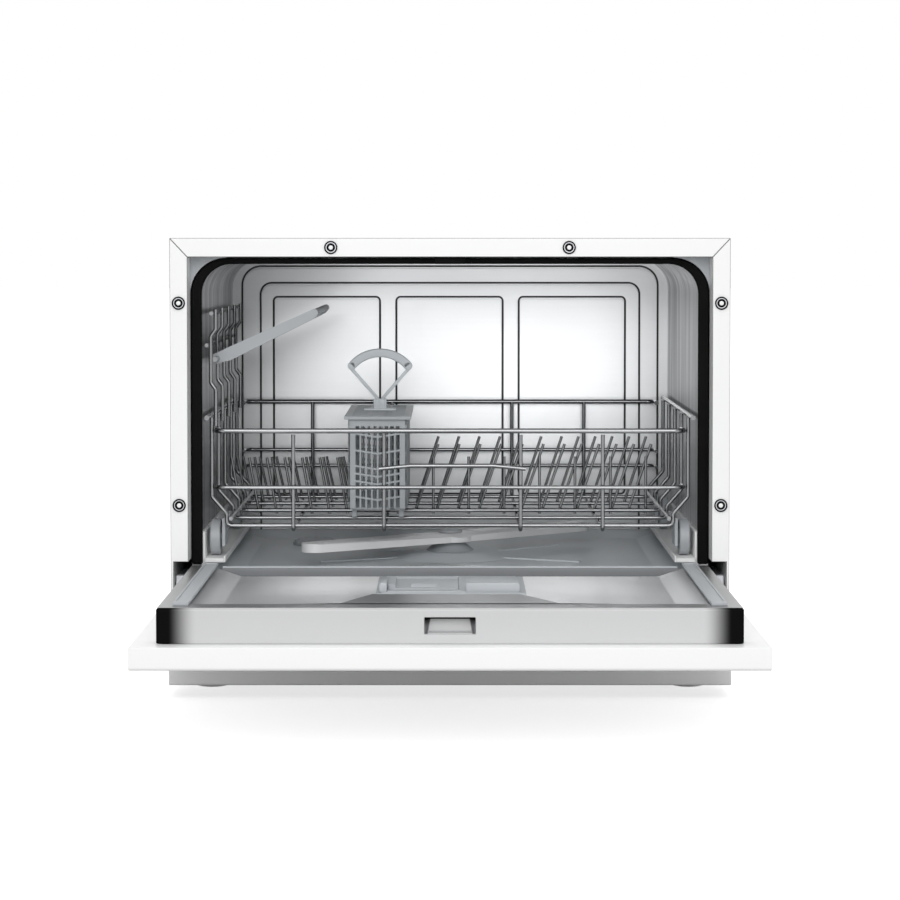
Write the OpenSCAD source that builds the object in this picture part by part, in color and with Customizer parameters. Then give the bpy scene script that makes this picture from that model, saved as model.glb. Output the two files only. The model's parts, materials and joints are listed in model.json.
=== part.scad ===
// Countertop dishwasher, shown with its drop-down door open and the rack in.
// X is to the right, Y runs from the open door to the back, Z is up.

/* [Case] */
// Width over the side panels
case_w = 551; // [530:1:600]
// Height from the worktop to the top cover
case_h = 450; // [448:1:480]
// Depth of the case behind the closed door
case_d = 478; // [470:1:540]
// Thickness of the painted sheets
sheet = 1; // [0.8:0.1:1.4]
// Height of the feet
foot_h = 12; // [9:1:16]
// Radius of the feet
foot_r = 18; // [14:1:22]
// Height of the hinge axis above the worktop
hinge_z = 100; // [98:1:104]

/* [Front frame] */
// Width of the side posts
post_w = 17.5; // [16.5:0.5:20]
// Height of the top rail
rail_h = 18.6; // [17:0.2:22]
// Depth of the frame
frame_d = 30; // [29.5:0.5:34]
// Thickness of the frame sheet
frame_t = 1.2; // [1:0.1:1.6]
// Radius of the round door bumpers
bumper_r = 6.5; // [5:0.5:7.5]

/* [Door] */
// Length of the door panel from the hinge axis to its grip edge
door_len = 350; // [350:1:356]
// Thickness of the outer panel
door_t = 22; // [20:1:24]
// Thickness of the inner door box that plugs into the frame
plug_t = 28; // [26:0.5:28.2]
// Gap between the inner door box and the frame
plug_gap = 4; // [3:0.5:6]
// Depth of the pan in the inner door
pan_d = 11; // [8:1:13]
// Width of the latch mouth
mouth_w = 44; // [40:1:56]
// Width of the grip recess
grip_w = 130; // [90:5:180]
// Radius of the hinge pins
pin_r = 3; // [2.5:0.25:3.5]

/* [Tub] */
// Wall of the stainless tub
tub_wall = 1.5; // [1.2:0.1:2]
// Gap between the tub and the frame opening on each side
tub_gap = 9; // [8:0.5:12]
// Corner radius of the tub
tub_r = 34; // [28:1:40]
// Height of the tub floor's rim above the worktop
rim_z = 118; // [117:0.5:119]
// Depth of the dish in the tub floor
dish_d = 6; // [4:0.5:7]
// Width of the pressed grooves in the back wall
groove_w = 2.3; // [1.8:0.1:3]
// Depth of the pressed grooves
groove_d = 0.8; // [0.5:0.1:1]
// Radius of the filter cup
filter_r = 31; // [26:1:34]
// Radius of the salt cap
salt_r = 24; // [20:1:28]

/* [Spray arm] */
// Reach of the spray arm from its hub
arm_reach = 188; // [150:2:190]
// Width of the spray arm in the middle
arm_w = 40; // [32:1:48]
// Thickness of the spray arm
arm_t = 9; // [7:0.5:10]
// Turn of the spray arm in the picture
arm_turn = 37; // [0:1:90]

/* [Rack] */
// Radius of the rim wires
rim_r = 2.5; // [2.2:0.1:2.8]
// Radius of the floor wires
wire_r = 2; // [1.8:0.1:2.3]
// Radius of the tines
tine_r = 1.5; // [1.2:0.1:1.8]
// Height of the side rims above the worktop
rim_wire_z = 270.7; // [262:1:280]
// Height of the cross wires of the floor
floor_wire_z = 162.5; // [160:0.5:164]
// Gap between the rack's side wires and the tub wall
rack_gap = 10.6; // [10:0.2:13]
// Room for the rollers between the rack's floor and the tub wall
roller_room = 25.5; // [25:0.5:28]
// Depth from the front plane to the rack's front wires
rack_front = 44; // [43:0.5:50]
// Depth of the rack from front to back
rack_d = 371; // [350:1:373]
// Gap between the left fence and the ceiling of the tub
fence_gap = 49; // [38:1:60]
// Radius of the rollers
roller_r = 18; // [16:0.5:19]
// Width of the rollers
roller_w = 10; // [8:0.5:11]
// Height of the front row of left tines
tine_left_h = 56; // [40:1:64]
// Height of the leaning right tines
tine_right_h = 73; // [50:1:80]
// Height of the upright tines
tine_upright_h = 57; // [40:1:64]
// Spacing of the left tines
tine_left_pitch = 18.75; // [16:0.25:19]
// Spacing of the right tines for plates
tine_plate_pitch = 22.4; // [20:0.2:22.6]
// Spacing of the right tines for saucers
tine_saucer_pitch = 18.4; // [16:0.2:18.6]

/* [Cup shelf and cutlery basket] */
// Reach of the cup shelf from its rail
shelf_reach = 112; // [90:1:116]
// Length of the cup shelf along the fence
shelf_len = 250; // [200:5:280]
// Tilt of the lowered cup shelf
shelf_tilt = 24.8; // [15:0.2:30]
// Width of the cutlery basket
basket_w = 63; // [50:1:64]
// Length of the cutlery basket
basket_len = 205; // [150:1:215]
// Height of the cutlery basket
basket_h = 104; // [80:1:120]
// Wall of the cutlery basket
basket_wall = 2.2; // [1.6:0.1:3]
// Height of the basket's handle above its rim
handle_h = 68; // [50:1:74]

/* [Clearances] */
// Running gap between parts that slide or turn
fit = 0.3; // [0.2:0.05:0.5]
// Running gap of a pin or shaft in its bore
bore_fit = 0.08; // [0.05:0.01:0.1]
// Gap between parts that are seated on each other
seat = 0.1; // [0.05:0.05:0.2]
// Gap round the door's swing
swing = 1; // [0.8:0.1:1.4]

/* [Hidden] */

// colours
white = "#f1f2f0";
steel = "#b9bcbe";
bright = "#d4d6d8";
pale_plastic = "#c3ced6";
grey_plastic = "#a9b0b4";
dark_grey = "#4a4d50";
black = "#1c1c1e";

// the front plane is y = 0 in every module, and at() moves it to its place in the part's frame
half_w = case_w / 2;
front_y = -(case_d - door_len) / 2;
open_hw = half_w - post_w;
open_top = case_h - rail_h;
skirt = door_t - 6;
plug_start = 4;
panel_start = 5;
plug_hw = open_hw - plug_gap;
plug_end = open_top - hinge_z - 1.4;
sweep_r = sqrt(pow(plug_t, 2) + pow(plug_start, 2)) + swing;
sill_y = sweep_r + 2.4;
gasket_y = plug_t + fit;
gasket_t = 8;
gasket_in = 11.2;
tub_front = gasket_y + gasket_t + fit;
tub_hw = open_hw - tub_gap;
tub_top = open_top - 3.4;
tub_back = case_d - 48;
flange_t = tub_wall;
pan_z = hinge_z + plug_t - pan_d;
track_z = hinge_z + plug_t + 2.7;
roller_z = track_z + fit + roller_r;
rack_hw = tub_hw - rack_gap;
rack_floor_hw = tub_hw - roller_room;
roller_x = rack_floor_hw + 12.5;
floor_t = 3;
dish_z = rim_z - dish_d;
shell_t = 2.5;
base_top = rim_z - dish_d - floor_t - 1;
wall_x = half_w - sheet - 1;
back_wall = case_d - 23;
hub_y = tub_back - 208;
hub_top = 140;
arm_z = 128;
filter_pos = [-13, 76];
salt_pos = [-150, tub_back - 100];
basket_pos = [-74, 95];
basket_z = floor_wire_z + wire_r + fit;
fascia_top = hinge_z - door_t - swing;
fascia_y = -door_t;
long_x = [-156.7, -66, 70.6, 152.7];
cross_n = 5;
cross_y = [for (i = [0:cross_n - 1]) rack_front + i * (rack_d - 59) / (cross_n - 1)];
long_z = floor_wire_z - 2 * wire_r - seat;
rack_back = rack_front + rack_d;
roller_y = [rack_front + 22, rack_front + rack_d - 95];
bumper_t = 1.5;
panel_face = hinge_z - bumper_t - 0.2;
hinge_disc_r = panel_start - fit;
fence_z = tub_top - fence_gap;
fence_foot = front_bar_z() + rim_r + 2;
// a height on the fence, as a share of the way up from its foot
function up_fence(share) = fence_foot + share * (fence_z - fence_foot);
shelf_rail_z = up_fence(0.571);

module at() translate([0, front_y, 0]) children();
// a profile in depth and height, extruded along X about the middle
module across(w, pts) rotate([90, 0, 90]) linear_extrude(w, center = true) polygon(pts);
// a profile in X and height, extruded backwards from y
module along(y, d) translate([0, y + d, 0]) rotate([90, 0, 0]) linear_extrude(d) children();
module both_sides() { children(); mirror([1, 0, 0]) children(); }
module box3(lo, hi) translate(lo) cube(hi - lo);
// a rod along X
module rod_x(x0, x1, r) translate([x0, 0, 0]) rotate([0, 90, 0]) cylinder(r = r, h = x1 - x0, $fn = 48);
module rod_y(y0, y1, r) translate([0, y1, 0]) rotate([90, 0, 0]) cylinder(r = r, h = y1 - y0, $fn = 48);
// a rectangle from lo to hi with true round corners
module round_rect(lo, hi, r) {
    translate([lo[0] + r, lo[1]]) square([hi[0] - lo[0] - 2 * r, hi[1] - lo[1]]);
    translate([lo[0], lo[1] + r]) square([hi[0] - lo[0], hi[1] - lo[1] - 2 * r]);
    for (x = [lo[0] + r, hi[0] - r], z = [lo[1] + r, hi[1] - r]) translate([x, z]) circle(r, $fn = 64);
}
// an arch: straight legs, round upper corners
module arch(hw, bottom, top, r) {
    translate([-hw, bottom]) square([2 * hw, top - r - bottom]);
    translate([-hw + r, bottom]) square([2 * (hw - r), top - bottom]);
    for (s = [-1, 1]) translate([s * (hw - r), top - r]) circle(r, $fn = 96);
}
module arch_ring(hw, bottom, top, r, w) difference() {
    arch(hw, bottom, top, r);
    arch(hw - w, bottom - 1, top - w, max(r - w, 1));
}

// ---- wires ----
function unit(v) = v / norm(v);
bend_lap = 0.3;
bend_swell = 0.02;
module rod(a, b, r) {
    d = b - a;
    translate(a) rotate([0, acos(d[2] / norm(d)), atan2(d[1], d[0])]) cylinder(r = r, h = norm(d), $fn = 24);
}
module elbow(p, a, b, r, bend, cut, turn) {
    side = unit(cross(a, b));
    out = -cross(side, a);
    c = p - a * cut - out * bend;
    multmatrix([[out[0], a[0], side[0], c[0]], [out[1], a[1], side[1], c[1]], [out[2], a[2], side[2], c[2]],
        [0, 0, 0, 1]])
        rotate_extrude(angle = turn, $fn = 48) translate([bend, 0]) circle(r = r, $fn = 24);
}
// a wire through the points, bent round at each one
module wire(pts, r, bend) {
    last = len(pts) - 1;
    u = [for (i = [0:last - 1]) unit(pts[i + 1] - pts[i])];
    turn = [for (i = [1:last - 1]) acos(max(-1, min(1, u[i - 1] * u[i])))];
    cut = [for (t = turn) bend * tan(t / 2)];
    for (i = [0:last - 1]) {
        from = i == 0 ? 0 : cut[i - 1] - bend_lap;
        to = i == last - 1 ? 0 : cut[i] - bend_lap;
        rod(pts[i] + u[i] * from, pts[i + 1] - u[i] * to, r);
    }
    for (i = [1:last - 1]) elbow(pts[i], u[i - 1], u[i], r + bend_swell, bend, cut[i - 1], turn[i - 1]);
}

// ---- case ----
module base_pan() color(white) at() {
    front_hw = open_hw - 1;
    cove = sweep_r + 0.3;
    difference() {
        across(2 * front_hw, [[0.3, foot_h], [0.3, hinge_z - 1], [sill_y, hinge_z - 1], [sill_y, foot_h]]);
        translate([0, 0, hinge_z]) rod_x(-half_w, half_w, cove);
        box3([-front_hw + shell_t, 0.3 + shell_t, foot_h + shell_t],
            [front_hw - shell_t, sill_y + 1, hinge_z - cove - shell_t]);
    }
    difference() {
        box3([-wall_x, sill_y, foot_h], [wall_x, back_wall, base_top]);
        box3([-wall_x + shell_t, sill_y - 1, foot_h + shell_t], [wall_x - shell_t, back_wall - shell_t, base_top + 1]);
        // holes for the two fittings and the cable gland in the back wall
        for (f = [[valve_pos, thread_r + neck], [drain_pos, spigot_r + neck], [gland_pos, gland_r]])
            translate([f[0][0], 0, f[0][1]]) rod_y(back_wall - 10, back_wall + 10, f[1] + fit);
    }
    // stiffening ribs across the floor
    for (i = [1:3]) let (y = sill_y + i * (back_wall - sill_y) / 4)
        box3([-wall_x + shell_t - seat, y, foot_h + shell_t - seat], [wall_x - shell_t + seat, y + 2, foot_h + 7]);
}
valve_pos = [83.5 - wall_x, 62];
thread_r = 13.2;
drain_pos = [133.5 - wall_x, 62];
spigot_r = 10;
gland_pos = [178.5 - wall_x, 62];
gland_r = 8;
// a fitting is wider by the neck where it passes the wall, and has a relief behind its free end
neck = 1;
collar_t = 3;
relief = 1.5;
module fitting(r, end) {
    rod_y(back_wall - 8, back_wall - shell_t - seat, r + 4);
    rod_y(back_wall - shell_t - 1, back_wall + 1, r + neck);
    rod_y(back_wall + seat, back_wall + collar_t, r + 3);
    rod_y(back_wall + collar_t - 1, back_wall + collar_t + relief + 1, r - 1);
    rod_y(back_wall + collar_t + relief, end, r);
}

module post() difference() {
    translate([0, 0, foot_h + 1]) linear_extrude(case_h - foot_h - 1) difference() {
        translate([open_hw, 0]) square([post_w, frame_d]);
        translate([open_hw + frame_t, frame_t]) square([post_w - 2 * frame_t, frame_d]);
    }
    // mitre against the top rail
    along(-1, frame_d + 2) polygon([[half_w + fit, case_h], [half_w + fit, case_h + 5], [open_hw - 5, case_h + 5],
        [open_hw - 5, open_top + seat], [open_hw, open_top - seat], [half_w, case_h - seat]]);
    // slot for the hinge arm and the door's skirt
    box3([open_hw - 1, -1, fascia_top - 8], [half_w - 3, frame_d + 1, hinge_z + sweep_r + 1.7]);
}
module frame_left() color(white) at() mirror([1, 0, 0]) post();
module frame_right() color(white) at() post();

module frame_top() color(white) at() {
    slot_y = mouth_y() - 1;
    difference() {
        intersection() {
            across(case_w, [[0, open_top], [frame_d, open_top], [frame_d, open_top + frame_t],
                [frame_t, open_top + frame_t], [frame_t, case_h - frame_t], [frame_d, case_h - frame_t],
                [frame_d, case_h], [0, case_h]]);
            along(-1, frame_d + 2) polygon([[-half_w, case_h], [-open_hw, open_top], [open_hw, open_top],
                [half_w, case_h]]);
        }
        box3([-hook_w / 2 - 2, slot_y, open_top - 1], [hook_w / 2 + 2, slot_y + hook_d + 5, open_top + frame_t + 1]);
    }
}
// plates that close the corners of the opening outside the gasket's round corners
module frame_gussets() color(bright) at() both_sides() along(gasket_y, frame_t) difference() {
    c = [open_hw - fit - gasket_r, open_top - 1 - gasket_r];
    translate(c) square([open_hw - seat - c[0], open_top - seat - c[1]]);
    translate(c) circle(gasket_r + fit, $fn = 96);
}
gasket_r = tub_r + 2;

module frame_bumpers() color(black) at() {
    side = open_hw + post_w / 2;
    spots = [[117, open_top + rail_h / 2], [side, open_top - 45.4], [side, hinge_z + 86.8]];
    for (p = spots) both_sides() translate([p[0], 0, p[1]]) {
        rotate([90, 0, 0]) rotate_extrude($fn = 64) polygon([[0, seat], [bumper_r, seat], [bumper_r, 0.9],
            [bumper_r - 0.6, bumper_t], [bumper_r - 1.6, bumper_t], [bumper_r - 2.2, 0.8], [2.4, 0.8],
            [2, bumper_t - 0.2], [0, bumper_t - 0.2]]);
    }
}

module side_panel() {
    x = half_w - sheet;
    y = frame_d + fit;
    box3([x, y, foot_h + 1], [half_w, case_d - sheet - seat, case_h - sheet - seat]);
    // return flanges at the front, foot and back
    box3([x - 12, y, foot_h + 1], [x, y + sheet, base_flange_z()]);
    box3([x - 10, case_d - 2 * sheet - seat, foot_h + 1], [x, case_d - sheet - seat, case_h - sheet - seat]);
}
function base_flange_z() = foot_h + 1 + sheet;
module side_panel_left() color(white) at() mirror([1, 0, 0]) side_panel();
module side_panel_right() color(white) at() side_panel();

module top_cover() color(white) at() {
    y = frame_d + fit;
    lip = half_w - sheet - seat;
    box3([-half_w, y, case_h - sheet], [half_w, case_d, case_h]);
    both_sides() box3([lip - sheet, y + 8, case_h - 14], [lip, case_d - 14, case_h - sheet]);
}

module rear_panel() color(bright) at() {
    hw = half_w - sheet - seat;
    y = case_d - sheet;
    niche = [[gland_pos[0] + 30, 24], [valve_pos[0] - 34, 96]];
    difference() {
        union() {
            box3([-hw, y, foot_h + 1], [hw, case_d, case_h - sheet - seat]);
            // pressed stiffening panel
            box3([-190, y - 3, 150], [190, y, 400]);
        }
        box3([-189, y - 2, 151], [189, case_d + 1, 399]);
        box3([niche[1][0], y - 5, niche[0][1]], [niche[0][0], case_d + 1, niche[1][1]]);
        // vents over the base
        for (i = [0:11]) box3([20 + 14 * i, y - 5, 40], [26 + 14 * i, case_d + 1, 84]);
    }
    // collar of the niche
    difference() {
        box3([niche[1][0] - sheet, back_wall + seat, niche[0][1] - sheet], [niche[0][0] + sheet, case_d, niche[1][1] + sheet]);
        box3([niche[1][0], back_wall, niche[0][1]], [niche[0][0], case_d + 1, niche[1][1]]);
    }
}

// the strip with the buttons is set back in the fascia
strip = [26, 66];
strip_d = 1.2;
button_x = [43.5 - half_w, 64, 106, half_w - 61.5];
button_size = [[26, 18], [30, 14], [30, 14], [38, 18]];
button_travel = 1.5;
display_x = [-62, 30];
module fascia() color(white) at() difference() {
    hw = half_w;
    y = fascia_y;
    across(2 * hw, [[y + 1.5, foot_h], [y, foot_h + 1.5], [y, fascia_top - 4], [y + 1.2, fascia_top - 1.2],
        [y + 4, fascia_top], [-seat, fascia_top - 6], [-seat, foot_h]]);
    across(2 * (hw - shell_t), [[y + shell_t, foot_h - 1], [y + shell_t, fascia_top - 5.5], [0, fascia_top - 9.5],
        [0, foot_h - 1]]);
    box3([-hw + 14, y - 1, strip[0]], [hw - 14, y + strip_d, strip[1]]);
    for (i = [0:3]) let (s = button_size[i] / 2 + [fit, fit], c = (strip[0] + strip[1]) / 2)
        box3([button_x[i] - s[0], y - 1, c - s[1]], [button_x[i] + s[0], y + shell_t + 1, c + s[1]]);
    box3([display_x[0], y - 1, strip[0] + 6], [display_x[1], y + shell_t + 1, strip[1] - 6]);
}
module display_window() color(black) at() {
    box3([display_x[0] + seat, fascia_y + strip_d, strip[0] + 6 + seat],
        [display_x[1] - seat, fascia_y + shell_t + 1.5, strip[1] - 6 - seat]);
}
module button(i) at() {
    s = button_size[i] / 2;
    c = (strip[0] + strip[1]) / 2;
    back = fascia_y + shell_t;
    translate([button_x[i], 0, c]) {
        box3([-s[0], fascia_y - 0.8 + strip_d, -s[1]], [s[0], back + 0.2, s[1]]);
        // a wider flange behind the fascia keeps the button in
        box3([-s[0] - 1.5, back + seat, -s[1] - 1.5], [s[0] + 1.5, back + 1, s[1] + 1.5]);
        rod_y(back, back + 2.5, 3);
    }
}
module power_button() color(grey_plastic) button(0);
module programme_button() color(grey_plastic) button(1);
module delay_button() color(grey_plastic) button(2);
module start_button() color(grey_plastic) button(3);

module control_board() color("#2f6b45") at() {
    y = fascia_y + shell_t + 4 + button_travel;
    c = (strip[0] + strip[1]) / 2;
    hw = half_w - 25.5;
    box3([-hw, y, strip[0] - 3], [hw, y + 1.6, strip[1] + 3]);
    // one switch behind each button, and the display's carrier
    for (x = button_x) translate([x, 0, c]) rod_y(y - 1, y + 0.5, 4);
    box3([display_x[0] + 4, y - 3.7, strip[0] + 9], [display_x[1] - 4, y + 0.5, strip[1] - 9]);
    for (x = [-180, 180]) box3([x, y + 1, c - 8], [x + 22, y + 7, c + 8]);
    // stand-offs to the base
    for (x = [10 - hw, -120, 120, hw - 10]) translate([x, 0, strip[0] + 4]) rod_y(y + 1, 0.2, 3);
}

module feet() color(dark_grey) at() {
    for (y = [sill_y + 26, back_wall - 26]) both_sides() translate([wall_x - 34, y, 0]) {
        cylinder(r1 = foot_r - 2, r2 = foot_r, h = 3, $fn = 64);
        translate([0, 0, 3]) cylinder(r = foot_r, h = 3, $fn = 64);
        translate([0, 0, 6]) cylinder(r = foot_r - 5, h = foot_h - 6 - seat, $fn = 64);
    }
}

module counterweight() color(dark_grey) at()
    box3([wall_x - 233.5, back_wall - 60, foot_h + shell_t + seat], [wall_x - 33.5, back_wall - 6, foot_h + 60]);

// ---- wash chamber ----
module tub() color(steel) at() {
    top = tub_top;
    depth = tub_back - tub_front;
    // wall, open at the front and below
    along(tub_front, depth + tub_wall) difference() {
        arch(tub_hw + tub_wall, rim_z + seat, top + tub_wall, tub_r + tub_wall);
        arch(tub_hw, rim_z - 1, top, tub_r);
    }
    // front flange behind the gasket
    along(tub_front, flange_t) difference() {
        arch(open_hw - seat, rim_z + seat, open_top - 0.5, tub_r + tub_gap);
        arch(tub_hw + 0.5, rim_z - 1, top + 0.5, tub_r);
    }
    // back wall with its pressed grooves
    difference() {
        along(tub_back, tub_wall) arch(tub_hw + 0.5, rim_z + seat, top + 0.5, tub_r);
        along(tub_back - 1, groove_d + 1) {
            arch_ring(tub_hw - 10, rim_z + 20, top - 8, 23, groove_w);
            arch_ring(tub_hw - 31, rim_z + 20, top - 27, 14, groove_w);
            for (x = [-141, -0.6, 139.5]) translate([x, 0]) difference() {
                round_rect([-62, rim_z + 40], [62, top - 43], 6);
                round_rect([-62 + groove_w, rim_z + 40 + groove_w], [62 - groove_w, top - 43 - groove_w], 4);
            }
        }
    }
}

// the dish falls from the rim on all four sides
module dish(grow) {
    hw = tub_hw - 3;
    z = dish_z - grow;
    intersection() {
        across(2 * hw, [[sill_y + 4, rim_z + 8], [sill_y + 4, rim_z - 1], [sill_y + 13, z], [tub_back - 40, z],
            [tub_back - 3, rim_z], [tub_back - 3, rim_z + 8]]);
        along(sill_y, tub_back - sill_y) polygon([[-hw, rim_z + 8], [-hw, rim_z], [-hw + 36, z],
            [hw - 36, z], [hw, rim_z], [hw, rim_z + 8]]);
    }
}
module tub_floor() color(pale_plastic) at() {
    y = sill_y + 0.4;
    well = [40, filter_r + 4];
    lip_hw = tub_hw - 22;
    difference() {
        union() {
            box3([-wall_x, y + 3, base_top + seat], [wall_x, tub_back + 8, base_top + floor_t]);
            box3([-tub_hw - tub_wall - 4, y, base_top + seat], [tub_hw + tub_wall + 4, tub_back + tub_wall + 4, rim_z]);
            box3([-lip_hw, y, rim_z - 1], [lip_hw, y + 3.2, rim_z + 4.5]);
            // sump well under the filter
            translate([filter_pos[0], filter_pos[1], well[0]]) cylinder(r = well[1], h = base_top - well[0] + 1, $fn = 96);
            translate([salt_pos[0], salt_pos[1], base_top - 12]) cylinder(r = salt_r + 3, h = 13, $fn = 64);
        }
        dish(0);
        translate([filter_pos[0], filter_pos[1], well[0] + 3]) cylinder(r = filter_r + fit, h = 100, $fn = 96);
        translate([salt_pos[0], salt_pos[1], base_top - 9]) cylinder(r = salt_r + fit, h = 100, $fn = 64);
        // the corners behind the posts
        both_sides() box3([open_hw - 0.8, y - 1, base_top - 1], [wall_x + 1, frame_d + 0.5 + seat, rim_z + 1]);
    }
    // raised dome round the hub
    translate([0, hub_y, dish_z - 1]) cylinder(r1 = 74, r2 = 38, h = 7, $fn = 96);
    // creases that run from the dome to the corners
    for (a = [38, 142, 205, 335]) translate([0, hub_y, dish_z - 0.5]) rotate([0, 0, a])
        box3([60, -2.5, 0], [150, 2.5, 2]);
}

module door_gasket() color(black) at() {
    along(gasket_y, gasket_t) difference() {
        arch(open_hw - fit, rim_z + 7, open_top - 1, gasket_r);
        arch(open_hw - gasket_in, rim_z + 6, open_top - 7, gasket_r - 6);
    }
}
module sill_seal() color(black) at() {
    hw = tub_hw - 22;
    across(2 * hw, [[sweep_r + 0.4, hinge_z - 1 + seat], [sill_y, hinge_z - 1 + seat], [sill_y, rim_z + 2],
        [sweep_r + 1.2, rim_z + 4], [sweep_r + 0.4, rim_z - 2]]);
}

module tub_rails() color(white) at() both_sides() {
    x = [roller_x - roller_w / 2 - 5, tub_hw - fit - 4, tub_hw - fit];
    y = [sill_y + 0.6, rack_back + 2];
    // wall plate with four slots
    difference() {
        box3([x[1], tub_front + seat, rim_z + seat], [x[2], y[1], roller_z + 8]);
        for (i = [0:3]) box3([x[1] - 1, y[0] + 60 + 90 * i, roller_z - 2], [x[2] + 1, y[0] + 90 + 90 * i, roller_z + 4]);
    }
    // track, and the lip along it that keeps the rollers on
    box3([x[0], y[0], track_z - 4], [x[1] - seat, y[1], track_z]);
    box3([x[0] - 1.6 - seat, y[0], track_z - 4], [x[0] - seat, y[1], track_z + 2.5]);
}

module hinge_brackets() color(steel) at() both_sides() {
    x = [open_hw + 2.2, open_hw + 10.4];
    for (c = x) translate([c + 0.8, 0, hinge_z]) {
        rod_x(-0.8, 0.8, hinge_disc_r);
        across(1.6, [[1, hinge_disc_r - 0.5], [frame_d - 3, 0], [frame_d - 3, -16], [0, 0.5 - hinge_disc_r]]);
    }
    box3([x[0], frame_d - 3 - seat, hinge_z - 30], [half_w - frame_t - seat, frame_d - 1, hinge_z]);
    translate([0, 0, hinge_z]) rod_x(x[0] - 1, x[1] + 2.6, pin_r);
}

hook_w = 30;
hook_d = 7;
hook_drop = 7;
function mouth_y() = 9;
latch_z = open_top + 9;
module latch_housing() color(black) at() difference() {
    box3([-34, frame_t + seat, open_top + frame_t + seat], [34, frame_d - 1, case_h - frame_t - seat]);
    box3([-hook_w / 2 - 2, mouth_y() - 3, open_top], [hook_w / 2 + 2, mouth_y() + hook_d + 5, case_h - frame_t - 2]);
    translate([0, mouth_y() + hook_d / 2, latch_z]) rod_x(-hook_w / 2 - 5, hook_w / 2 + 5, 1.5 + bore_fit);
}
module latch_hook() color(black) at() {
    z = open_top - hook_drop;
    across(hook_w, [[mouth_y(), z + 1.5], [mouth_y() + 1.5, z], [mouth_y() + 3, z], [mouth_y() + hook_d, z + 5],
        [mouth_y() + hook_d, latch_z + 3], [mouth_y() + 1, latch_z + 3]]);
    translate([0, mouth_y() + hook_d / 2, latch_z]) rod_x(-hook_w / 2 - 4, hook_w / 2 + 4, 1.5);
}

module spray_hub() color(grey_plastic) at() translate([0, hub_y, 0]) rotate_extrude($fn = 96) polygon([
    [0, dish_z + 6 + seat], [26, dish_z + 6 + seat], [22, dish_z + 9], [14, arm_z - fit], [9, arm_z - fit],
    [9, arm_z + arm_t + fit], [13, arm_z + arm_t + fit], [12, hub_top], [4, hub_top + 1], [0, hub_top + 1]]);

module spray_arm() color(bright) at() translate([0, hub_y, arm_z]) rotate([0, 0, arm_turn]) difference() {
    union() {
        intersection() {
            // plan form: broad in the middle, round tips
            linear_extrude(arm_t) {
                circle(arm_w / 2 + 4, $fn = 96);
                polygon([[-arm_reach + 14, -14], [-20, -arm_w / 2], [20, -arm_w / 2], [arm_reach - 14, -14],
                    [arm_reach - 14, 14], [20, arm_w / 2], [-20, arm_w / 2], [-arm_reach + 14, 14]]);
                for (s = [-1, 1]) translate([s * (arm_reach - 14), 0]) circle(14, $fn = 64);
            }
            // section: the top falls away to both edges
            across(2 * arm_reach + 2, [[-30, 0], [30, 0], [30, arm_t * 0.3], [12, arm_t], [-12, arm_t],
                [-30, arm_t * 0.3]]);
        }
    }
    translate([0, 0, -1]) cylinder(r = 9 + fit, h = arm_t + 2, $fn = 64);
    // jets
    for (s = [-1, 1], i = [0:4]) translate([s * (48 + 29 * i), s * (i % 2 == 0 ? 5 : -5), arm_t - 2])
        cylinder(r = 1.8, h = 4, $fn = 24);
}

module filter_cup() color(grey_plastic) at() translate([filter_pos[0], filter_pos[1], 0]) {
    z = [43 + seat, dish_z + 4];
    difference() {
        union() {
            translate([0, 0, z[0]]) cylinder(r = filter_r - 2, h = z[1] - z[0], $fn = 96);
            translate([0, 0, dish_z + 1]) cylinder(r = filter_r, h = 3, $fn = 96);
        }
        translate([0, 0, z[0] + 2]) cylinder(r = filter_r - 4, h = 100, $fn = 96);
        // windows in the wall of the cup
        for (a = [0:45:135]) rotate([0, 0, a]) box3([-filter_r, -6, z[0] + 8], [filter_r, 6, z[1] - 12]);
    }
    // cross grip
    box3([-filter_r + 3, -2.5, dish_z - 6], [filter_r - 3, 2.5, dish_z + 6]);
}
module fine_filter() color(steel) at() difference() {
    translate([filter_pos[0], filter_pos[1] + 22, dish_z + seat]) cylinder(r = filter_r + 18, h = 0.8, $fn = 96);
    translate([filter_pos[0], filter_pos[1], dish_z - 1]) cylinder(r = filter_r + fit + 0.2, h = 4, $fn = 96);
}
module salt_cap() color(grey_plastic) at() translate([salt_pos[0], salt_pos[1], 0]) {
    z = base_top - 9 + seat;
    translate([0, 0, z]) cylinder(r = salt_r, h = dish_z + 3 - z, $fn = 96);
    for (a = [0:30:330]) rotate([0, 0, a]) translate([salt_r - 3, 0, dish_z + 2]) cylinder(r = 2, h = 3.5, $fn = 24);
    box3([-salt_r + 6, -3, dish_z + 2], [salt_r - 6, 3, dish_z + 7]);
}

// ---- machinery in the base ----
base_floor = foot_h + 7;
module softener_tank() color(bright) at() {
    c = salt_pos;
    box3([c[0] - 55, c[1] - 60, base_floor + seat], [c[0] + 45, c[1] + 40, base_top - 14]);
    translate([c[0], c[1], base_top - 15]) cylinder(r = salt_r - 2, h = 3 - seat, $fn = 64);
}
module wash_pump() color(dark_grey) at() translate([90, hub_y - 72, base_floor + 36]) {
    rod_x(-40, 50, 33);
    rod_x(-58, -40, 40 - 5);
    rod_x(50, 62, 12);
    box3([-30, -30, -36 + seat], [40, 30, -20]);
}
module flow_heater() color(steel) at() translate([filter_pos[0], filter_pos[1], 62]) difference() {
    rod_x(filter_r + 4 + seat, 160, 15);
    rod_x(filter_r, 161, 11);
}
module drain_pump() color(dark_grey) at() translate([filter_pos[0], filter_pos[1] + filter_r + 4 + seat, 60]) {
    rod_y(0, 50, 20);
    rod_y(50, 62, 12);
    box3([-18, 8, -60 + base_floor + seat], [18, 44, -10]);
}
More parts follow.
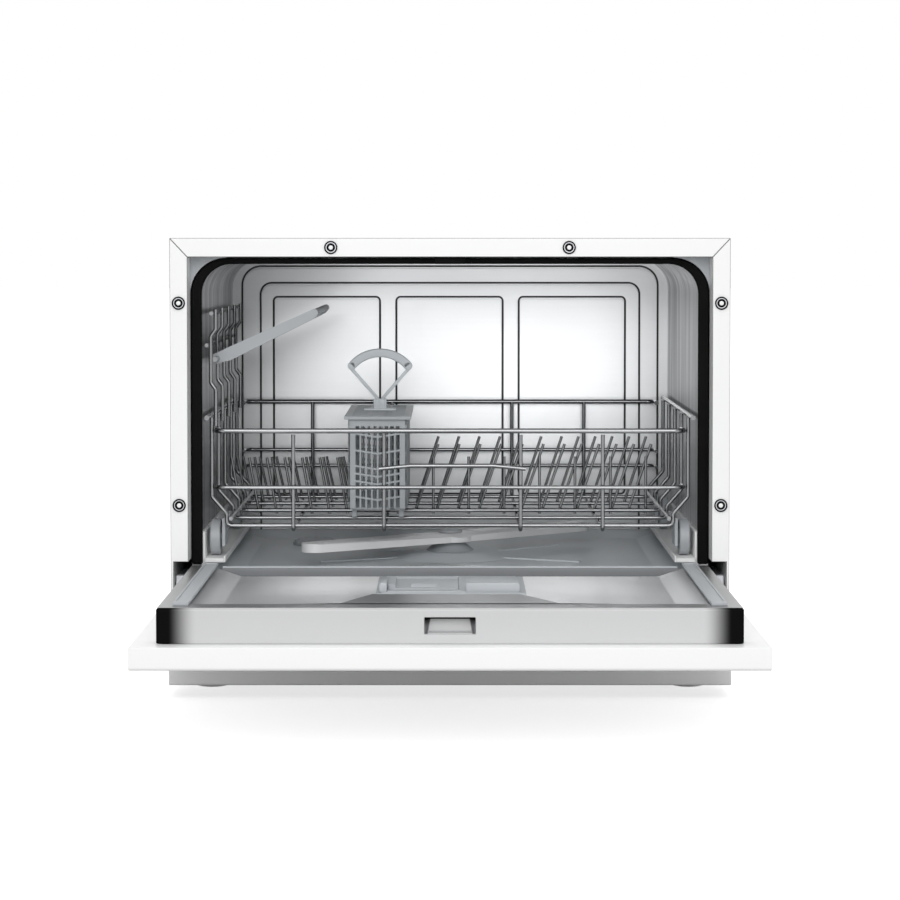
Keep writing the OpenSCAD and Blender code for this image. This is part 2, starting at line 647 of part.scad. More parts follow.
module water_valve() color(white) at() translate([valve_pos[0], 0, valve_pos[1]]) {
    difference() {
        fitting(thread_r, case_d - 5);
        rod_y(back_wall + 2, case_d, thread_r - 3.5);
    }
    box3([-17, back_wall - 48, -20], [17, back_wall - 8, 18]);
    box3([-12, back_wall - 40, foot_h + shell_t + seat - valve_pos[1]], [12, back_wall - 16, -19]);
}
module drain_spigot() color(grey_plastic) at() translate([drain_pos[0], 0, drain_pos[1]]) difference() {
    fitting(spigot_r, case_d - 4);
    rod_y(back_wall - 20, case_d, spigot_r - 2);
}
module cable_gland() color(black) at() translate([gland_pos[0], 0, gland_pos[1]]) difference() {
    union() {
        rod_y(back_wall - 8, case_d - 9, gland_r);
        rod_y(back_wall - 6, back_wall - shell_t - seat, gland_r + 4);
        rod_y(back_wall + seat, back_wall + 3, gland_r + 3);
    }
    rod_y(back_wall - 20, case_d, 4);
}

// ---- door ----
module door_outer() color(white) at() {
    y = [-door_len, -panel_start];
    z = [hinge_z - door_t, panel_face];
    skin = 2;
    lip = 1.5;
    grip = [[-grip_w / 2, y[0] + 6, z[0] - 1], [grip_w / 2, y[0] + 28, z[0] + 15]];
    difference() {
        across(case_w, [[y[0], z[0] + 3], [y[0] + 1, z[0] + 1], [y[0] + 3, z[0]], [y[1], z[0]], [y[1], z[1]],
            [y[0], z[1]]]);
        difference() {
            union() {
                box3([-half_w + skin, y[0] + skin, z[0] + skin], [half_w - skin, y[1] - skin, z[1] - lip]);
                box3([-plug_hw + 14, -plug_end + 12, z[0] + skin], [plug_hw - 14, y[1] - 12, z[1] + 1]);
            }
            box3(grip[0] - [skin, 10, 0], grip[1] + [skin, skin, skin]);
        }
        box3(grip[0], grip[1]);
    }
    // skirt that turns down behind the fascia as the door closes
    box3([-half_w + 3.8, y[1] - seat, z[0]], [half_w - 3.8, skirt, z[0] + 4 - 0.5]);
}

module lock_hump(grow) translate([0, 0, pan_z - 2]) linear_extrude(plug_t + hinge_z - pan_z + 1.2 + grow)
    polygon([[-113 - grow, -plug_end + 15], [-71 - grow, -215 + grow], [64 + grow, -215 + grow],
        [117 + grow, -plug_end + 15]]);
module pan_cut(grow) {
    top = hinge_z + plug_t;
    end = -plug_end + 40 - grow;
    difference() {
        intersection() {
            across(2 * plug_hw + 10, [[end, top + 5], [end, top], [end + 7, pan_z - grow], [5, pan_z - grow], [5, top + 5]]);
            along(-plug_end - 5, plug_end + 20) polygon([[-plug_hw + 16 - grow, top + 5], [-plug_hw + 16 - grow, top],
                [-plug_hw + 49 - grow, pan_z - grow], [plug_hw - 49 + grow, pan_z - grow],
                [plug_hw - 16 + grow, top], [plug_hw - 16 + grow, top + 5]]);
        }
        lock_hump(-grow);
    }
}
end_band = 14;
module door_inner() color(steel) at() {
    y = [-plug_end + end_band + seat, -plug_start];
    top = hinge_z + plug_t;
    difference() {
        box3([-plug_hw, y[0], panel_face + seat], [plug_hw, y[1], top]);
        pan_cut(0);
        difference() {
            box3([-plug_hw + 1.5, y[0] + 1.5, hinge_z - 5], [plug_hw - 1.5, y[1] - 1.5, top - 1.5]);
            pan_cut(1.5);
        }
        // seat of the dispenser
        box3([disp_x[0] - fit, disp_y[0] - fit, pan_z - 5], [disp_x[1] + fit, disp_y[1] + fit, pan_z + 5]);
    }
}
module door_end_band() color(bright) at() {
    y = [-plug_end, -plug_end + end_band];
    z = [panel_face + seat, hinge_z + plug_t];
    m = [hinge_z + 6.9, hinge_z + 21.4];
    difference() {
        translate([0, 0, z[0]]) linear_extrude(z[1] - z[0]) {
            translate([-plug_hw, y[0] + 6]) square([2 * plug_hw, end_band - 6]);
            translate([-plug_hw + 6, y[0]]) square([2 * (plug_hw - 6), end_band]);
            for (s = [-1, 1]) translate([s * (plug_hw - 6), y[0] + 6]) circle(6, $fn = 48);
        }
        // latch mouth: deep on the chamber side, ramped on the outer side
        across(mouth_w, [[y[0] - 1, m[0]], [y[0], m[0]], [y[0] + 11, m[0] + 2.2], [y[0] + 11, m[1]], [y[0] - 1, m[1]]]);
    }
}
track_end = plug_end - 26;
module door_tracks() color(grey_plastic) at() both_sides() {
    x = roller_x - roller_w / 2 - 3;
    z = hinge_z + plug_t + seat;
    difference() {
        box3([x, -track_end, z], [plug_hw - 12, -plug_start, track_z]);
        // running groove
        box3([x + 2, -track_end + 12, track_z - 1], [plug_hw - 14, -plug_start - 4, track_z + 1]);
    }
}
module hinge_arms() color(steel) at() both_sides() {
    x = [open_hw + 5, open_hw + 9.4];
    difference() {
        union() {
            translate([0, 0, hinge_z]) rod_x(x[0], x[1], hinge_disc_r);
            across_at(x, [[-22, 1], [-22, 20], [-10, 20], [2.5, 3.5], [0, -4], [-3, -3], [-4.5, 1]]);
            across_at([plug_hw + seat, x[0] + 1], [[-22, 8], [-22, 20], [-12, 20], [-12, 8]]);
        }
        translate([0, 0, hinge_z]) rod_x(x[0] - 1, x[1] + 1, pin_r + bore_fit);
    }
}
module across_at(x, pts) translate([(x[0] + x[1]) / 2, 0, hinge_z]) across(x[1] - x[0], pts);

disp_x = [-64, 66];
disp_y = [-145, -25];
disp_top = pan_z + 4;
disp_wall = 2.5;
lid_x = [-58, 8];
lid_y = [disp_y[0] + 14, disp_y[0] + 72];
lid_travel = 42;
cap_pos = [40, -90];
cap_r = 15;
module dispenser_housing() color(grey_plastic) at() difference() {
    union() {
        box3([disp_x[0], disp_y[0], hinge_z + 2], [disp_x[1], disp_y[1], disp_top - 1.5]);
        box3([disp_x[0] - 5, disp_y[0] - 5, pan_z + seat], [disp_x[1] + 5, disp_y[1] + 5, pan_z + 2]);
        box3([disp_x[0] + 2, disp_y[0] + 2, disp_top - 2], [disp_x[1] - 2, disp_y[1] - 2, disp_top - 0.8]);
    }
    // detergent chamber
    box3([lid_x[0] + 4, lid_y[0] + 6, hinge_z + 4.5], [lid_x[1] - 4, lid_y[1] - 6, disp_top + 5]);
    // seat in which the lid slides
    box3([lid_x[0] - fit, lid_y[0] - fit, disp_top - 2.6], [lid_x[1] + fit, lid_y[1] + lid_travel + fit, disp_top + 5]);
    translate([cap_pos[0], cap_pos[1], hinge_z + 5]) cylinder(r = cap_r + fit, h = 30, $fn = 64);
}
module detergent_lid() color(bright) at() {
    mid = (lid_x[0] + lid_x[1]) / 2;
    box3([lid_x[0], lid_y[0], disp_top - 2.6 + fit], [lid_x[1], lid_y[1], disp_top + 0.6]);
    // raised rib along the left edge and a thumb grip
    box3([lid_x[0], lid_y[0], disp_top], [lid_x[0] + 7, lid_y[1], disp_top + 4]);
    for (i = [0:2]) box3([mid - 12, lid_y[0] + 10 + 6 * i, disp_top], [mid + 12, lid_y[0] + 12.5 + 6 * i, disp_top + 2]);
}
module rinse_aid_cap() color(dark_grey) at() translate([cap_pos[0], cap_pos[1], 0]) {
    z = hinge_z + 5 + fit;
    translate([0, 0, z]) cylinder(r = cap_r, h = disp_top + 1 - z, $fn = 64);
    difference() {
        translate([0, 0, disp_top]) cylinder(r = cap_r - 2, h = 4, $fn = 64);
        for (s = [-1, 1]) box3([s * 10 - 7, -20, disp_top + 1.2], [s * 10 + 7, 20, disp_top + 9]);
    }
}

// ---- rack ----
module cross_wire(y) {
    low = floor_wire_z;
    wire([[-rack_hw, y, rim_wire_z], [-rack_hw, y, low + 29], [-rack_floor_hw, y, low + 12],
        [-rack_floor_hw, y, low], [rack_floor_hw, y, low], [rack_floor_hw, y, low + 12], [rack_hw, y, low + 29],
        [rack_hw, y, rim_wire_z]], wire_r, 4.5);
}
module rack_floor() color(bright) at() {
    for (y = cross_y) cross_wire(y);
    front = rack_front - 2 * wire_r - seat;
    for (x = long_x) wire([[x, front, front_bar_z() - 4], [x, front, long_z], [x, rack_back, long_z],
        [x, rack_back, rim_wire_z - 5]], wire_r, 2 * wire_r);
    side = rack_floor_hw - 2 * wire_r - seat;
    low = floor_wire_z + 7;
    for (s = [-1, 1]) rod([s * side, rack_front - 3, low], [s * side, rack_back + 3, low], wire_r);
}
function front_bar_z() = rim_wire_z - 12.7;
module rack_rim() color(bright) at() {
    side = rack_hw + wire_r + rim_r + seat;
    front = rack_front - 3 * wire_r - rim_r - 2 * seat;
    back = rack_back + wire_r + rim_r + seat;
    bar = front_bar_z();
    inner = rack_hw - wire_r - rim_r - seat;
    // side rims: straight wires with open ends
    rod([side, rack_front - 4, rim_wire_z], [side, rack_back + 4, rim_wire_z], rim_r);
    rod([-side, rack_front - 4, rim_wire_z], [-side, rack_back + 4, rim_wire_z], rim_r);
    // two front bars, bent back at both corners
    for (b = [[bar, rim_r], [bar - 56.6, wire_r]])
        wire([[-inner, rack_front + 22, b[0]], [-inner, front, b[0]], [inner, front, b[0]],
            [inner, rack_front + 22, b[0]]], b[1], 9);
    // shallow arch between the two middle wires, to pull the rack by
    grip_y = rack_front - 4 * wire_r - 2 * seat;
    grip_z = bar - 38;
    wire([[long_x[1] - 5, grip_y, grip_z], [long_x[1] + 27, grip_y, grip_z + 3], [long_x[2] - 27, grip_y, grip_z + 3],
        [long_x[2] + 5, grip_y, grip_z]], wire_r, 6);
    // three back bars
    for (b = [[rim_wire_z - 5, rim_r], [rim_wire_z - 60, wire_r], [rim_wire_z - 78, wire_r]])
        wire([[-inner, rack_back - 24, b[0]], [-inner, back, b[0]], [inner, back, b[0]],
            [inner, rack_back - 24, b[0]]], b[1], 9);
}
// the raised fence hangs on the left side inside the cross wires
module rack_fence() color(bright) at() {
    x = -(rack_hw - 2 * wire_r - seat);
    jog = 5;
    for (y = cross_y)
        wire([[x, y, fence_foot], [x, y, up_fence(0.313)], [x - jog, y, up_fence(0.373)],
            [x - jog, y, up_fence(0.768)], [x, y, up_fence(0.828)], [x, y, fence_z]], wire_r, 5);
    // two rails outside, and the shelf's rail inside
    for (r = [[x, fence_z - 4], [x - jog, up_fence(0.691)]]) let (out = r[0] - 2 * wire_r - seat)
        rod([out, rack_front, r[1]], [out, rack_back - 6, r[1]], wire_r);
    rod([shelf_x(), rack_front, shelf_rail_z], [shelf_x(), rack_back - 6, shelf_rail_z], rim_r);
}
function shelf_x() = -(rack_hw - 2 * wire_r - seat) - 5 + wire_r + rim_r - 0.3;
// tines on a wire behind a cross wire: feet is the list of their places, stub how far they reach below
module tine_row(feet, y, h, lean, stub) {
    z = floor_wire_z;
    rod([feet[0] - 4, y, z], [feet[len(feet) - 1] + 4, y, z], wire_r);
    for (x = feet) rod([x - lean * stub / h, y, z - stub], [x + lean, y, z + h], tine_r);
}
row_gap = 2 * wire_r + 2 * seat;
module tines_left() color(bright) at() for (i = [2:4])
    tine_row([for (j = [0:6]) 1.5 - rack_floor_hw + j * tine_left_pitch], cross_y[i] + row_gap,
        tine_left_h - 5.5 * (i - 2), -10, wire_r + 2);
module tines_right() color(bright) at() {
    // seven plate tines, then five saucer tines, in two rows
    feet = [for (i = [0:11]) -36.5 + min(i, 6) * tine_plate_pitch + max(i - 6, 0) * tine_saucer_pitch];
    tine_row(feet, cross_y[2] + 2 * row_gap, tine_right_h - 3, 24, 0);
    tine_row(feet, cross_y[3] + row_gap, tine_right_h, 24, 0);
    // upright tines
    tine_row([for (i = [0:7]) -55.3 + 37.6 * i], cross_y[2] + row_gap, tine_upright_h, 0, wire_r + 2);
}

axle_r = 4;
module roller_bracket(y) {
    x = roller_x - roller_w / 2;
    z = roller_z;
    box3([rack_floor_hw + wire_r + fit, y - 16, z - 8], [x - 2, y + 16, z + 20]);
    // hook under the low side wire
    box3([rack_floor_hw - wire_r, y - 14, floor_wire_z + 4.5], [rack_floor_hw + wire_r + 1, y + 14, floor_wire_z + 11]);
    translate([0, y, z]) {
        rod_x(x - 3, x + roller_w + 1.6, axle_r);
        rod_x(x - 3, x - fit, axle_r + 3);
        rod_x(x + roller_w + fit, x + roller_w + 1.6, axle_r + 2);
    }
}
module roller_brackets() color(grey_plastic) at() both_sides() for (y = roller_y) roller_bracket(y);
module roller(side, y) at() translate([side < 0 ? -roller_x : roller_x, y, roller_z]) rotate([0, side * 90, 0])
    rotate_extrude($fn = 96) polygon([[axle_r + bore_fit, -roller_w / 2], [8, -roller_w / 2], [9, -roller_w / 2 + 1.5],
        [14, -roller_w / 2 + 1.5], [15, -roller_w / 2], [roller_r - 1, -roller_w / 2], [roller_r, -roller_w / 2 + 1],
        [roller_r, roller_w / 2 - 1], [roller_r - 1, roller_w / 2], [15, roller_w / 2], [14, roller_w / 2 - 1.5],
        [9, roller_w / 2 - 1.5], [8, roller_w / 2], [axle_r + bore_fit, roller_w / 2]]);
module roller_front_left() color(grey_plastic) roller(-1, roller_y[0]);
module roller_front_right() color(grey_plastic) roller(1, roller_y[0]);
module roller_rear_left() color(grey_plastic) roller(-1, roller_y[1]);
module roller_rear_right() color(grey_plastic) roller(1, roller_y[1]);

// ---- cup shelf, folded down from the fence ----
module cup_shelf() color(grey_plastic) at() {
    y = [rack_front + 28, rack_front + 28 + shelf_len];
    clip_r = rim_r + bore_fit;
    translate([shelf_x(), 0, shelf_rail_z]) rotate([0, -shelf_tilt, 0]) difference() {
        union() {
            // end ribs and two middle ribs, deeper at the root
            for (i = [0:3]) translate([0, y[0] + (shelf_len - 4) * i / 3, 0]) rotate([90, 0, 0])
                translate([0, 0, -4]) linear_extrude(4) polygon([[0, -5], [12, -7.5], [shelf_reach - 6, -4.5],
                    [shelf_reach, -1.5], [shelf_reach - 1, 3.5], [shelf_reach - 8, 4.5], [14, 5.5], [0, 5]]);
            // slats along the fence
            for (i = [0:6]) box3([14 + (shelf_reach - 22) * i / 6, y[0] + 1, -1.5],
                [14 + (shelf_reach - 22) * i / 6 + 5, y[1] - 1, 1.5]);
            // front edge bead
            translate([shelf_reach - 3, 0, 1]) rod_y(y[0], y[1], 3);
            // barrels round the rail
            for (i = [0:3]) translate([0, y[0] + (shelf_len - 12) * i / 3, 0]) rod_y(0, 12, 5.5);
        }
        rod_y(y[0] - 5, y[1] + 5, clip_r);
    }
}

// ---- cutlery basket ----
module basket_cells(len_u, n, rows, h, bar) {
    step_u = (len_u - bar) / n;
    step_v = (h - bar) / rows;
    for (i = [0:n - 1], j = [0:rows - 1]) translate([bar + i * step_u, bar + j * step_v])
        square([step_u - bar, step_v - bar]);
}
module cutlery_basket() color(pale_plastic) at() translate([basket_pos[0], basket_pos[1], basket_z]) {
    hw = basket_w / 2;
    t = basket_wall;
    lattice_h = basket_h - 12;
    difference() {
        union() {
            box3([-hw + 3, 3, 0], [hw - 3, basket_len - 3, basket_h]);
            // rim flange
            box3([-hw, 0, basket_h - 3.5], [hw, basket_len, basket_h]);
        }
        box3([-hw + 3 + t, 3 + t, t], [hw - 3 - t, basket_len - 3 - t, basket_h + 1]);
        // lattice of the two ends
        translate([-hw + 3 + t, basket_len + 1, 4]) rotate([90, 0, 0]) linear_extrude(basket_len + 2)
            basket_cells(basket_w - 6 - 2 * t, 6, 7, lattice_h, 2.2);
        // lattice of the two sides
        translate([-hw - 1, 3 + t, 4]) rotate([90, 0, 90]) linear_extrude(basket_w + 2)
            basket_cells(basket_len - 6 - 2 * t, 12, 7, lattice_h, 2.4);
        // slots in the bottom
        for (i = [0:11]) box3([-hw + 9, 12 + 15.5 * i, -1], [hw - 9, 19 + 15.5 * i, t + 1]);
    }
    // handle: a fan-shaped loop on the middle of the basket
    translate([0, basket_len / 2 + 4, basket_h]) rotate([90, 0, 0]) linear_extrude(8) difference() {
        union() {
            translate([0, handle_h - 33]) circle(33, $fn = 96);
            polygon([[-29, handle_h - 50], [-6, -1], [6, -1], [29, handle_h - 50]]);
        }
        translate([0, handle_h - 33]) circle(25, $fn = 96);
        polygon([[-18, handle_h - 49], [-2, 12], [2, 12], [18, handle_h - 49]]);
    }
    box3([-hw + 3, basket_len / 2 - 4, basket_h - 3.5], [hw - 3, basket_len / 2 + 4, basket_h]);
}

base_pan();
frame_top();
frame_left();
frame_right();
frame_gussets();
frame_bumpers();
top_cover();
side_panel_left();
side_panel_right();
rear_panel();
fascia();
display_window();
control_board();
power_button();
programme_button();
delay_button();
start_button();
feet();
counterweight();
tub();
tub_floor();
door_gasket();
sill_seal();
tub_rails();
hinge_brackets();
latch_housing();
latch_hook();
spray_hub();
spray_arm();
filter_cup();
fine_filter();
salt_cap();
softener_tank();
wash_pump();
flow_heater();
drain_pump();
water_valve();
drain_spigot();
cable_gland();
door_outer();
door_inner();
door_end_band();
door_tracks();
hinge_arms();
dispenser_housing();
detergent_lid();
rinse_aid_cap();
rack_floor();
rack_rim();
rack_fence();
tines_left();
tines_right();
roller_brackets();
roller_front_left();
roller_front_right();
roller_rear_left();
roller_rear_right();
cup_shelf();
cutlery_basket();
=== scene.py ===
import json
from math import atan, cos, pi, radians, sin

import bpy
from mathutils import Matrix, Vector

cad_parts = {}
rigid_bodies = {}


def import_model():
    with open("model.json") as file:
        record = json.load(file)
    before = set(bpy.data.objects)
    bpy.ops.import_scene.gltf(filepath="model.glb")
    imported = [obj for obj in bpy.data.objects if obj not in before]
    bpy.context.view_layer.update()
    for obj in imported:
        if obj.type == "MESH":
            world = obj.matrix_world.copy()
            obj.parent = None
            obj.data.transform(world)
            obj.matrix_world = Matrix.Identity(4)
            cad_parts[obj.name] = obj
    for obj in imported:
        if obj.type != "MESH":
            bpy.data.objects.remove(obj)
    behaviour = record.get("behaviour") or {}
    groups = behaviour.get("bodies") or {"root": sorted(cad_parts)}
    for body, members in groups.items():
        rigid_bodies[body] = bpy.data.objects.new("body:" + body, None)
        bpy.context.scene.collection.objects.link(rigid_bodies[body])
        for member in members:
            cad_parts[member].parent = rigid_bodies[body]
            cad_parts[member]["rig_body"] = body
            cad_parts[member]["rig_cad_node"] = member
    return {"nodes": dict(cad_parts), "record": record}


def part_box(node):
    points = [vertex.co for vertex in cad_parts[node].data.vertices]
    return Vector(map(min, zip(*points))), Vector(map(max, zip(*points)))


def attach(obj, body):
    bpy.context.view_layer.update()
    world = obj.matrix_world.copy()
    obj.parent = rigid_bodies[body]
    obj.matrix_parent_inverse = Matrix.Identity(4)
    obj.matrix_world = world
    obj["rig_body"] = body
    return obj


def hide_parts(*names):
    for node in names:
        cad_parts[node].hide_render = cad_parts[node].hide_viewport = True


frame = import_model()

bl_info = {
    "name": "Countertop dishwasher",
    "version": (1, 0, 0),
    "blender": (4, 5, 0),
    "location": "View3D > Sidebar > Dishwasher",
    "description": "Dresses a countertop dishwasher with rounded mouldings, finishes and a studio",
    "category": "Add Mesh",
}

MM = 0.001
NODES = frame["nodes"]
BODIES = {node: body for body, members in frame["record"]["behaviour"]["bodies"].items()
          for node in members}
SLOTS = {row["node"]: row["material_slot"] for row in frame["record"]["subparts"]}
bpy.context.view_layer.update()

# places that the frame gives
TUB_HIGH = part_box("tub")[1]
FLOOR_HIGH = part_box("tub_floor")[1]
BAND_LOW, BAND_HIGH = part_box("door_end_band")
PANEL_LOW, PANEL_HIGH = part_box("door_inner")
FRONT_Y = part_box("frame_top")[0].y


# ---- what a user may change ----
def number_property(name, description, default, low, high, unit="NONE", precision=2):
    return bpy.props.FloatProperty(name=name, description=description, default=default, min=low, max=high,
                                   unit=unit, precision=precision)


def length_property(name, description, default, low, high, precision=5):
    """A length, its numbers given in millimetres"""
    return number_property(name, description, default * MM, low * MM, high * MM, "LENGTH", precision)


def colour_property(name, description, default):
    return bpy.props.FloatVectorProperty(name=name, description=description, default=default, subtype="COLOR",
                                         size=3, min=0, max=1)


class DishwasherSizes(bpy.types.PropertyGroup):
    """Sizes of the rounded edges and of the small trim"""
    sheet_edge: length_property("Sheet edge", "Radius on the edges of painted sheets", 0.45, 0.1, 1)
    moulded_edge: length_property("Moulded edge", "Radius on the edges of plastic mouldings", 0.8, 0.2, 2)
    pan_edge: length_property("Pan edge", "Radius of the drawn pan in the door", 6, 1, 9)
    basket_w: length_property("Basket width", "Width of the cutlery basket below its rim", 60, 50, 64, 4)
    basket_h: length_property("Basket height", "From the basket's feet to its deck", 104, 90, 110, 4)
    basket_feet: length_property("Basket feet", "Height of the feet under the basket", 8, 4, 12, 4)
    basket_dip: length_property("Lattice dip", "How far the bars of the lattice sag", 3.7, 0, 5, 4)
    grip_r: length_property("Grip radius", "Outer radius of the basket's grip", 43.5, 40, 50, 4)
    grip_top: length_property("Grip height", "Top of the grip above the deck", 65.5, 58, 67, 4)
    gasket_edge: length_property("Gasket edge", "Radius along the rubber gasket", 2.4, 1, 3.5)


class DishwasherColours(bpy.types.PropertyGroup):
    """Colours of the finishes"""
    paint: colour_property("Paint", "White of the painted case and its mouldings", (0.88, 0.885, 0.88))
    steel: colour_property("Steel", "Pressed stainless steel", (0.7, 0.71, 0.72))
    # painted shade: the wire's colour is kept dark, so that its reflections read dark
    wire: colour_property("Wire", "Polished wires of the rack", (0.24, 0.245, 0.25))
    zinc: colour_property("Zinc", "Zinc plate of the rear panel, hinges and bumper washers",
        (0.4, 0.41, 0.43))
    pale: colour_property("Pale plastic", "Blue-grey plastic of the floor and basket", (0.64, 0.68, 0.71))
    grey: colour_property("Grey plastic", "Plastic of the shelf, dispenser and rollers", (0.4, 0.42, 0.44))
    light: colour_property("Light plastic", "Plastic of the spray arm, buttons and door's edge",
        (0.87, 0.875, 0.88))
    floor: colour_property("Floor", "Studio floor", (0.6, 0.6, 0.6))


class DishwasherStudio(bpy.types.PropertyGroup):
    """Camera and lights"""
    distance: number_property("Distance", "From the lens to the front frame", 2.6, 1, 6, "LENGTH")
    eye: number_property("Eye height", "Height of the lens above the worktop", 0.4353, 0.1, 1, "LENGTH")
    focal: number_property("Focal length in pixels", "For a picture 900 pixels wide", 2647, 900, 6000)
    eye_row: number_property("Eye row", "Row of the picture that is level with the lens", 253, 0, 900)
    shift: number_property("Shift", "Share of the picture by which the lens is shifted", -0.1, -0.3, 0.3)
    soft_box: number_property("Soft box", "Power of the large front light", 22, 0, 300, "POWER")
    soft_box_size: number_property("Soft box size", "Side of the large front light", 1.3, 0.2, 4, "LENGTH")
    room: number_property("Room", "Strength of the even light from all sides", 0.74, 0, 2)


# ---- shader arithmetic ----
class Value:
    """One output of a shader node, with Python's arithmetic on it"""

    def __init__(self, finish, socket):
        self.finish = finish
        self.socket = socket

    def maths(self, operation, *others):
        return self.finish.node("ShaderNodeMath", {"operation": operation}, [self, *others])

    def __add__(self, other):
        return self.maths("ADD", other)

    __radd__ = __add__

    def __sub__(self, other):
        return self.maths("SUBTRACT", other)

    def __rsub__(self, other):
        return self.finish.node("ShaderNodeMath", {"operation": "SUBTRACT"}, [other, self])

    def __mul__(self, other):
        return self.maths("MULTIPLY", other)

    __rmul__ = __mul__

    def __truediv__(self, other):
        return self.maths("DIVIDE", other)

    def __gt__(self, other):
        return self.maths("GREATER_THAN", other)

    def __lt__(self, other):
        return self.maths("LESS_THAN", other)

    def __abs__(self):
        return self.maths("ABSOLUTE")

    def larger(self, other):
        return self.maths("MAXIMUM", other)

    def smaller(self, other):
        return self.maths("MINIMUM", other)

    def ramp(self, low, high):
        """0 at low, 1 at high, smooth between"""
        inputs = {"Value": self, "From Min": low, "From Max": high, "To Min": 0.0, "To Max": 1.0}
        return self.finish.node("ShaderNodeMapRange", {"interpolation_type": "SMOOTHSTEP"}, inputs)


class Finish:
    """A material built round one Principled shader"""

    def __init__(self, name, **constants):
        self.material = bpy.data.materials.new(name)
        self.material.use_nodes = True
        self.tree = self.material.node_tree
        self.shader = self.tree.nodes["Principled BSDF"]
        for socket, value in constants.items():
            self.shader.inputs[socket.replace("_", " ")].default_value = value
        self.place = self.node("ShaderNodeTexCoord", output="Object")

    def node(self, kind, settings=None, inputs=None, output=0):
        made = self.tree.nodes.new(kind)
        for setting, value in (settings or {}).items():
            setattr(made, setting, value)
        pairs = inputs.items() if isinstance(inputs, dict) else enumerate(inputs or [])
        for key, value in pairs:
            self.feed(made.inputs[key], value)
        return Value(self, made.outputs[output])

    def feed(self, socket, value):
        if isinstance(value, Value):
            self.tree.links.new(value.socket, socket)
        else:
            socket.default_value = value

    def drive(self, **links):
        for socket, value in links.items():
            self.feed(self.shader.inputs[socket.replace("_", " ")], value)

    def axes(self):
        parts = self.tree.nodes.new("ShaderNodeSeparateXYZ")
        self.tree.links.new(self.place.socket, parts.inputs[0])
        return [Value(self, out) for out in parts.outputs]

    def noise(self, scale, detail=2.0, stretch=(1, 1, 1), roughness=0.5):
        """Noise with about scale features a metre, drawn out along an axis where stretch is below 1"""
        where = self.place
        if stretch != (1, 1, 1):
            where = self.node("ShaderNodeMapping", inputs={"Vector": self.place, "Scale": stretch})
        inputs = {"Vector": where, "Scale": scale, "Detail": detail, "Roughness": roughness}
        return self.node("ShaderNodeTexNoise", inputs=inputs)

    def blend(self, share, low, high):
        """A colour between low, where share is 0, and high, where share is 1"""
        inputs = {"Factor": share, 6: low, 7: high}
        return self.node("ShaderNodeMix", {"data_type": "RGBA"}, inputs, 2)

    def relief(self, height, depth, strength=1.0):
        inputs = {"Height": height, "Distance": depth, "Strength": strength}
        self.drive(Normal=self.node("ShaderNodeBump", inputs=inputs))


def tint(colour, share=1.0):
    return (*[min(1.0, part * share) for part in colour], 1.0)


def scaled(colour, share):
    return [part * share for part in colour]


def largest(masks):
    """1 wherever one of the masks is 1"""
    mask = masks[0]
    for other in masks[1:]:
        mask = mask.larger(other)
    return mask


# ---- finishes ----
def painted_steel(name, colour):
    """Stoved paint: a faint orange peel, slightly uneven gloss"""
    paint = Finish(name, IOR=1.5)
    drift = paint.noise(5, 3)
    peel = paint.noise(700, 1)
    paint.drive(Base_Color=paint.blend(drift, tint(colour, 0.985), tint(colour, 1.01)),
                Roughness=0.26 + drift * 0.1)
    paint.relief(peel, 0.03 * MM, 0.35)
    return paint.material


def pressed_steel(name, colour, roughness=0.3, shade=None, crease_shade=None, milky=None):
    """Stainless sheet: fine grain of the rolled surface, soft uneven reflections, painted shade where shade
    is low, painted dark lines where crease_shade is high, and less like a mirror where milky is high"""
    steel = Finish(name, Metallic=1.0)
    grain = steel.noise(2600, 2, roughness=0.7)
    cloud = steel.noise(9, 4)
    brushed = steel.noise(240, 3, stretch=(0.03, 1, 1))
    base = steel.blend(grain * 0.5 + cloud * 0.3 + brushed * 0.2, tint(colour, 0.9), tint(colour, 1.1))
    if shade:
        # painted shade: darkens the steel towards a fifth of its colour where shade is low
        base = steel.blend(shade(steel), tint(colour, 0.2), base)
    if crease_shade:
        # painted shade: the pressed lines are painted near black and lose their metal
        mark = crease_shade(steel)
        base = steel.blend(mark, base, (0.012, 0.012, 0.013, 1))
        steel.drive(Metallic=1.0 - mark * 0.9)
    if milky:
        steel.drive(Metallic=1.0 - milky(steel) * 0.85)
    steel.drive(Base_Color=base, Roughness=roughness + (cloud - 0.5) * 0.1 + (grain - 0.5) * 0.12)
    steel.relief(grain * 0.6 + brushed * 0.4, 0.02 * MM, 0.4)
    return steel.material


def polished_wire(name, colour):
    """Drawn and polished wire with faint drawing lines"""
    wire = Finish(name, Metallic=1.0)
    cloud = wire.noise(60, 3)
    fine = wire.noise(1800, 2)
    wire.drive(Base_Color=wire.blend(cloud, tint(colour, 0.9), tint(colour, 1.06)),
               Roughness=0.13 + cloud * 0.08 + fine * 0.04)
    wire.relief(fine, 0.01 * MM, 0.3)
    return wire.material


def plated_zinc(name, colour):
    """Zinc plate with its spangle"""
    zinc = Finish(name, Metallic=1.0)
    spangle = zinc.node("ShaderNodeTexVoronoi", inputs={"Vector": zinc.place, "Scale": 150.0}, output="Color")
    bright = zinc.node("ShaderNodeSeparateXYZ", inputs=[spangle])
    zinc.drive(Base_Color=zinc.blend(bright, tint(colour, 0.93), tint(colour, 1.05)),
               Roughness=0.36 + bright * 0.08)
    zinc.relief(zinc.noise(900, 2), 0.02 * MM, 0.3)
    return zinc.material


def moulded_plastic(name, colour, roughness=0.42, grain=0.05):
    """Moulded plastic: an eroded texture and a little drift in colour"""
    plastic = Finish(name, IOR=1.49)
    drift = plastic.noise(14, 3)
    erosion = plastic.noise(1500, 3, roughness=0.6)
    plastic.drive(Base_Color=plastic.blend(drift, tint(colour, 0.95), tint(colour, 1.05)),
                  Roughness=roughness + (drift - 0.5) * 0.08 + (erosion - 0.5) * 0.1)
    plastic.relief(erosion, grain * MM, 0.4)
    return plastic.material


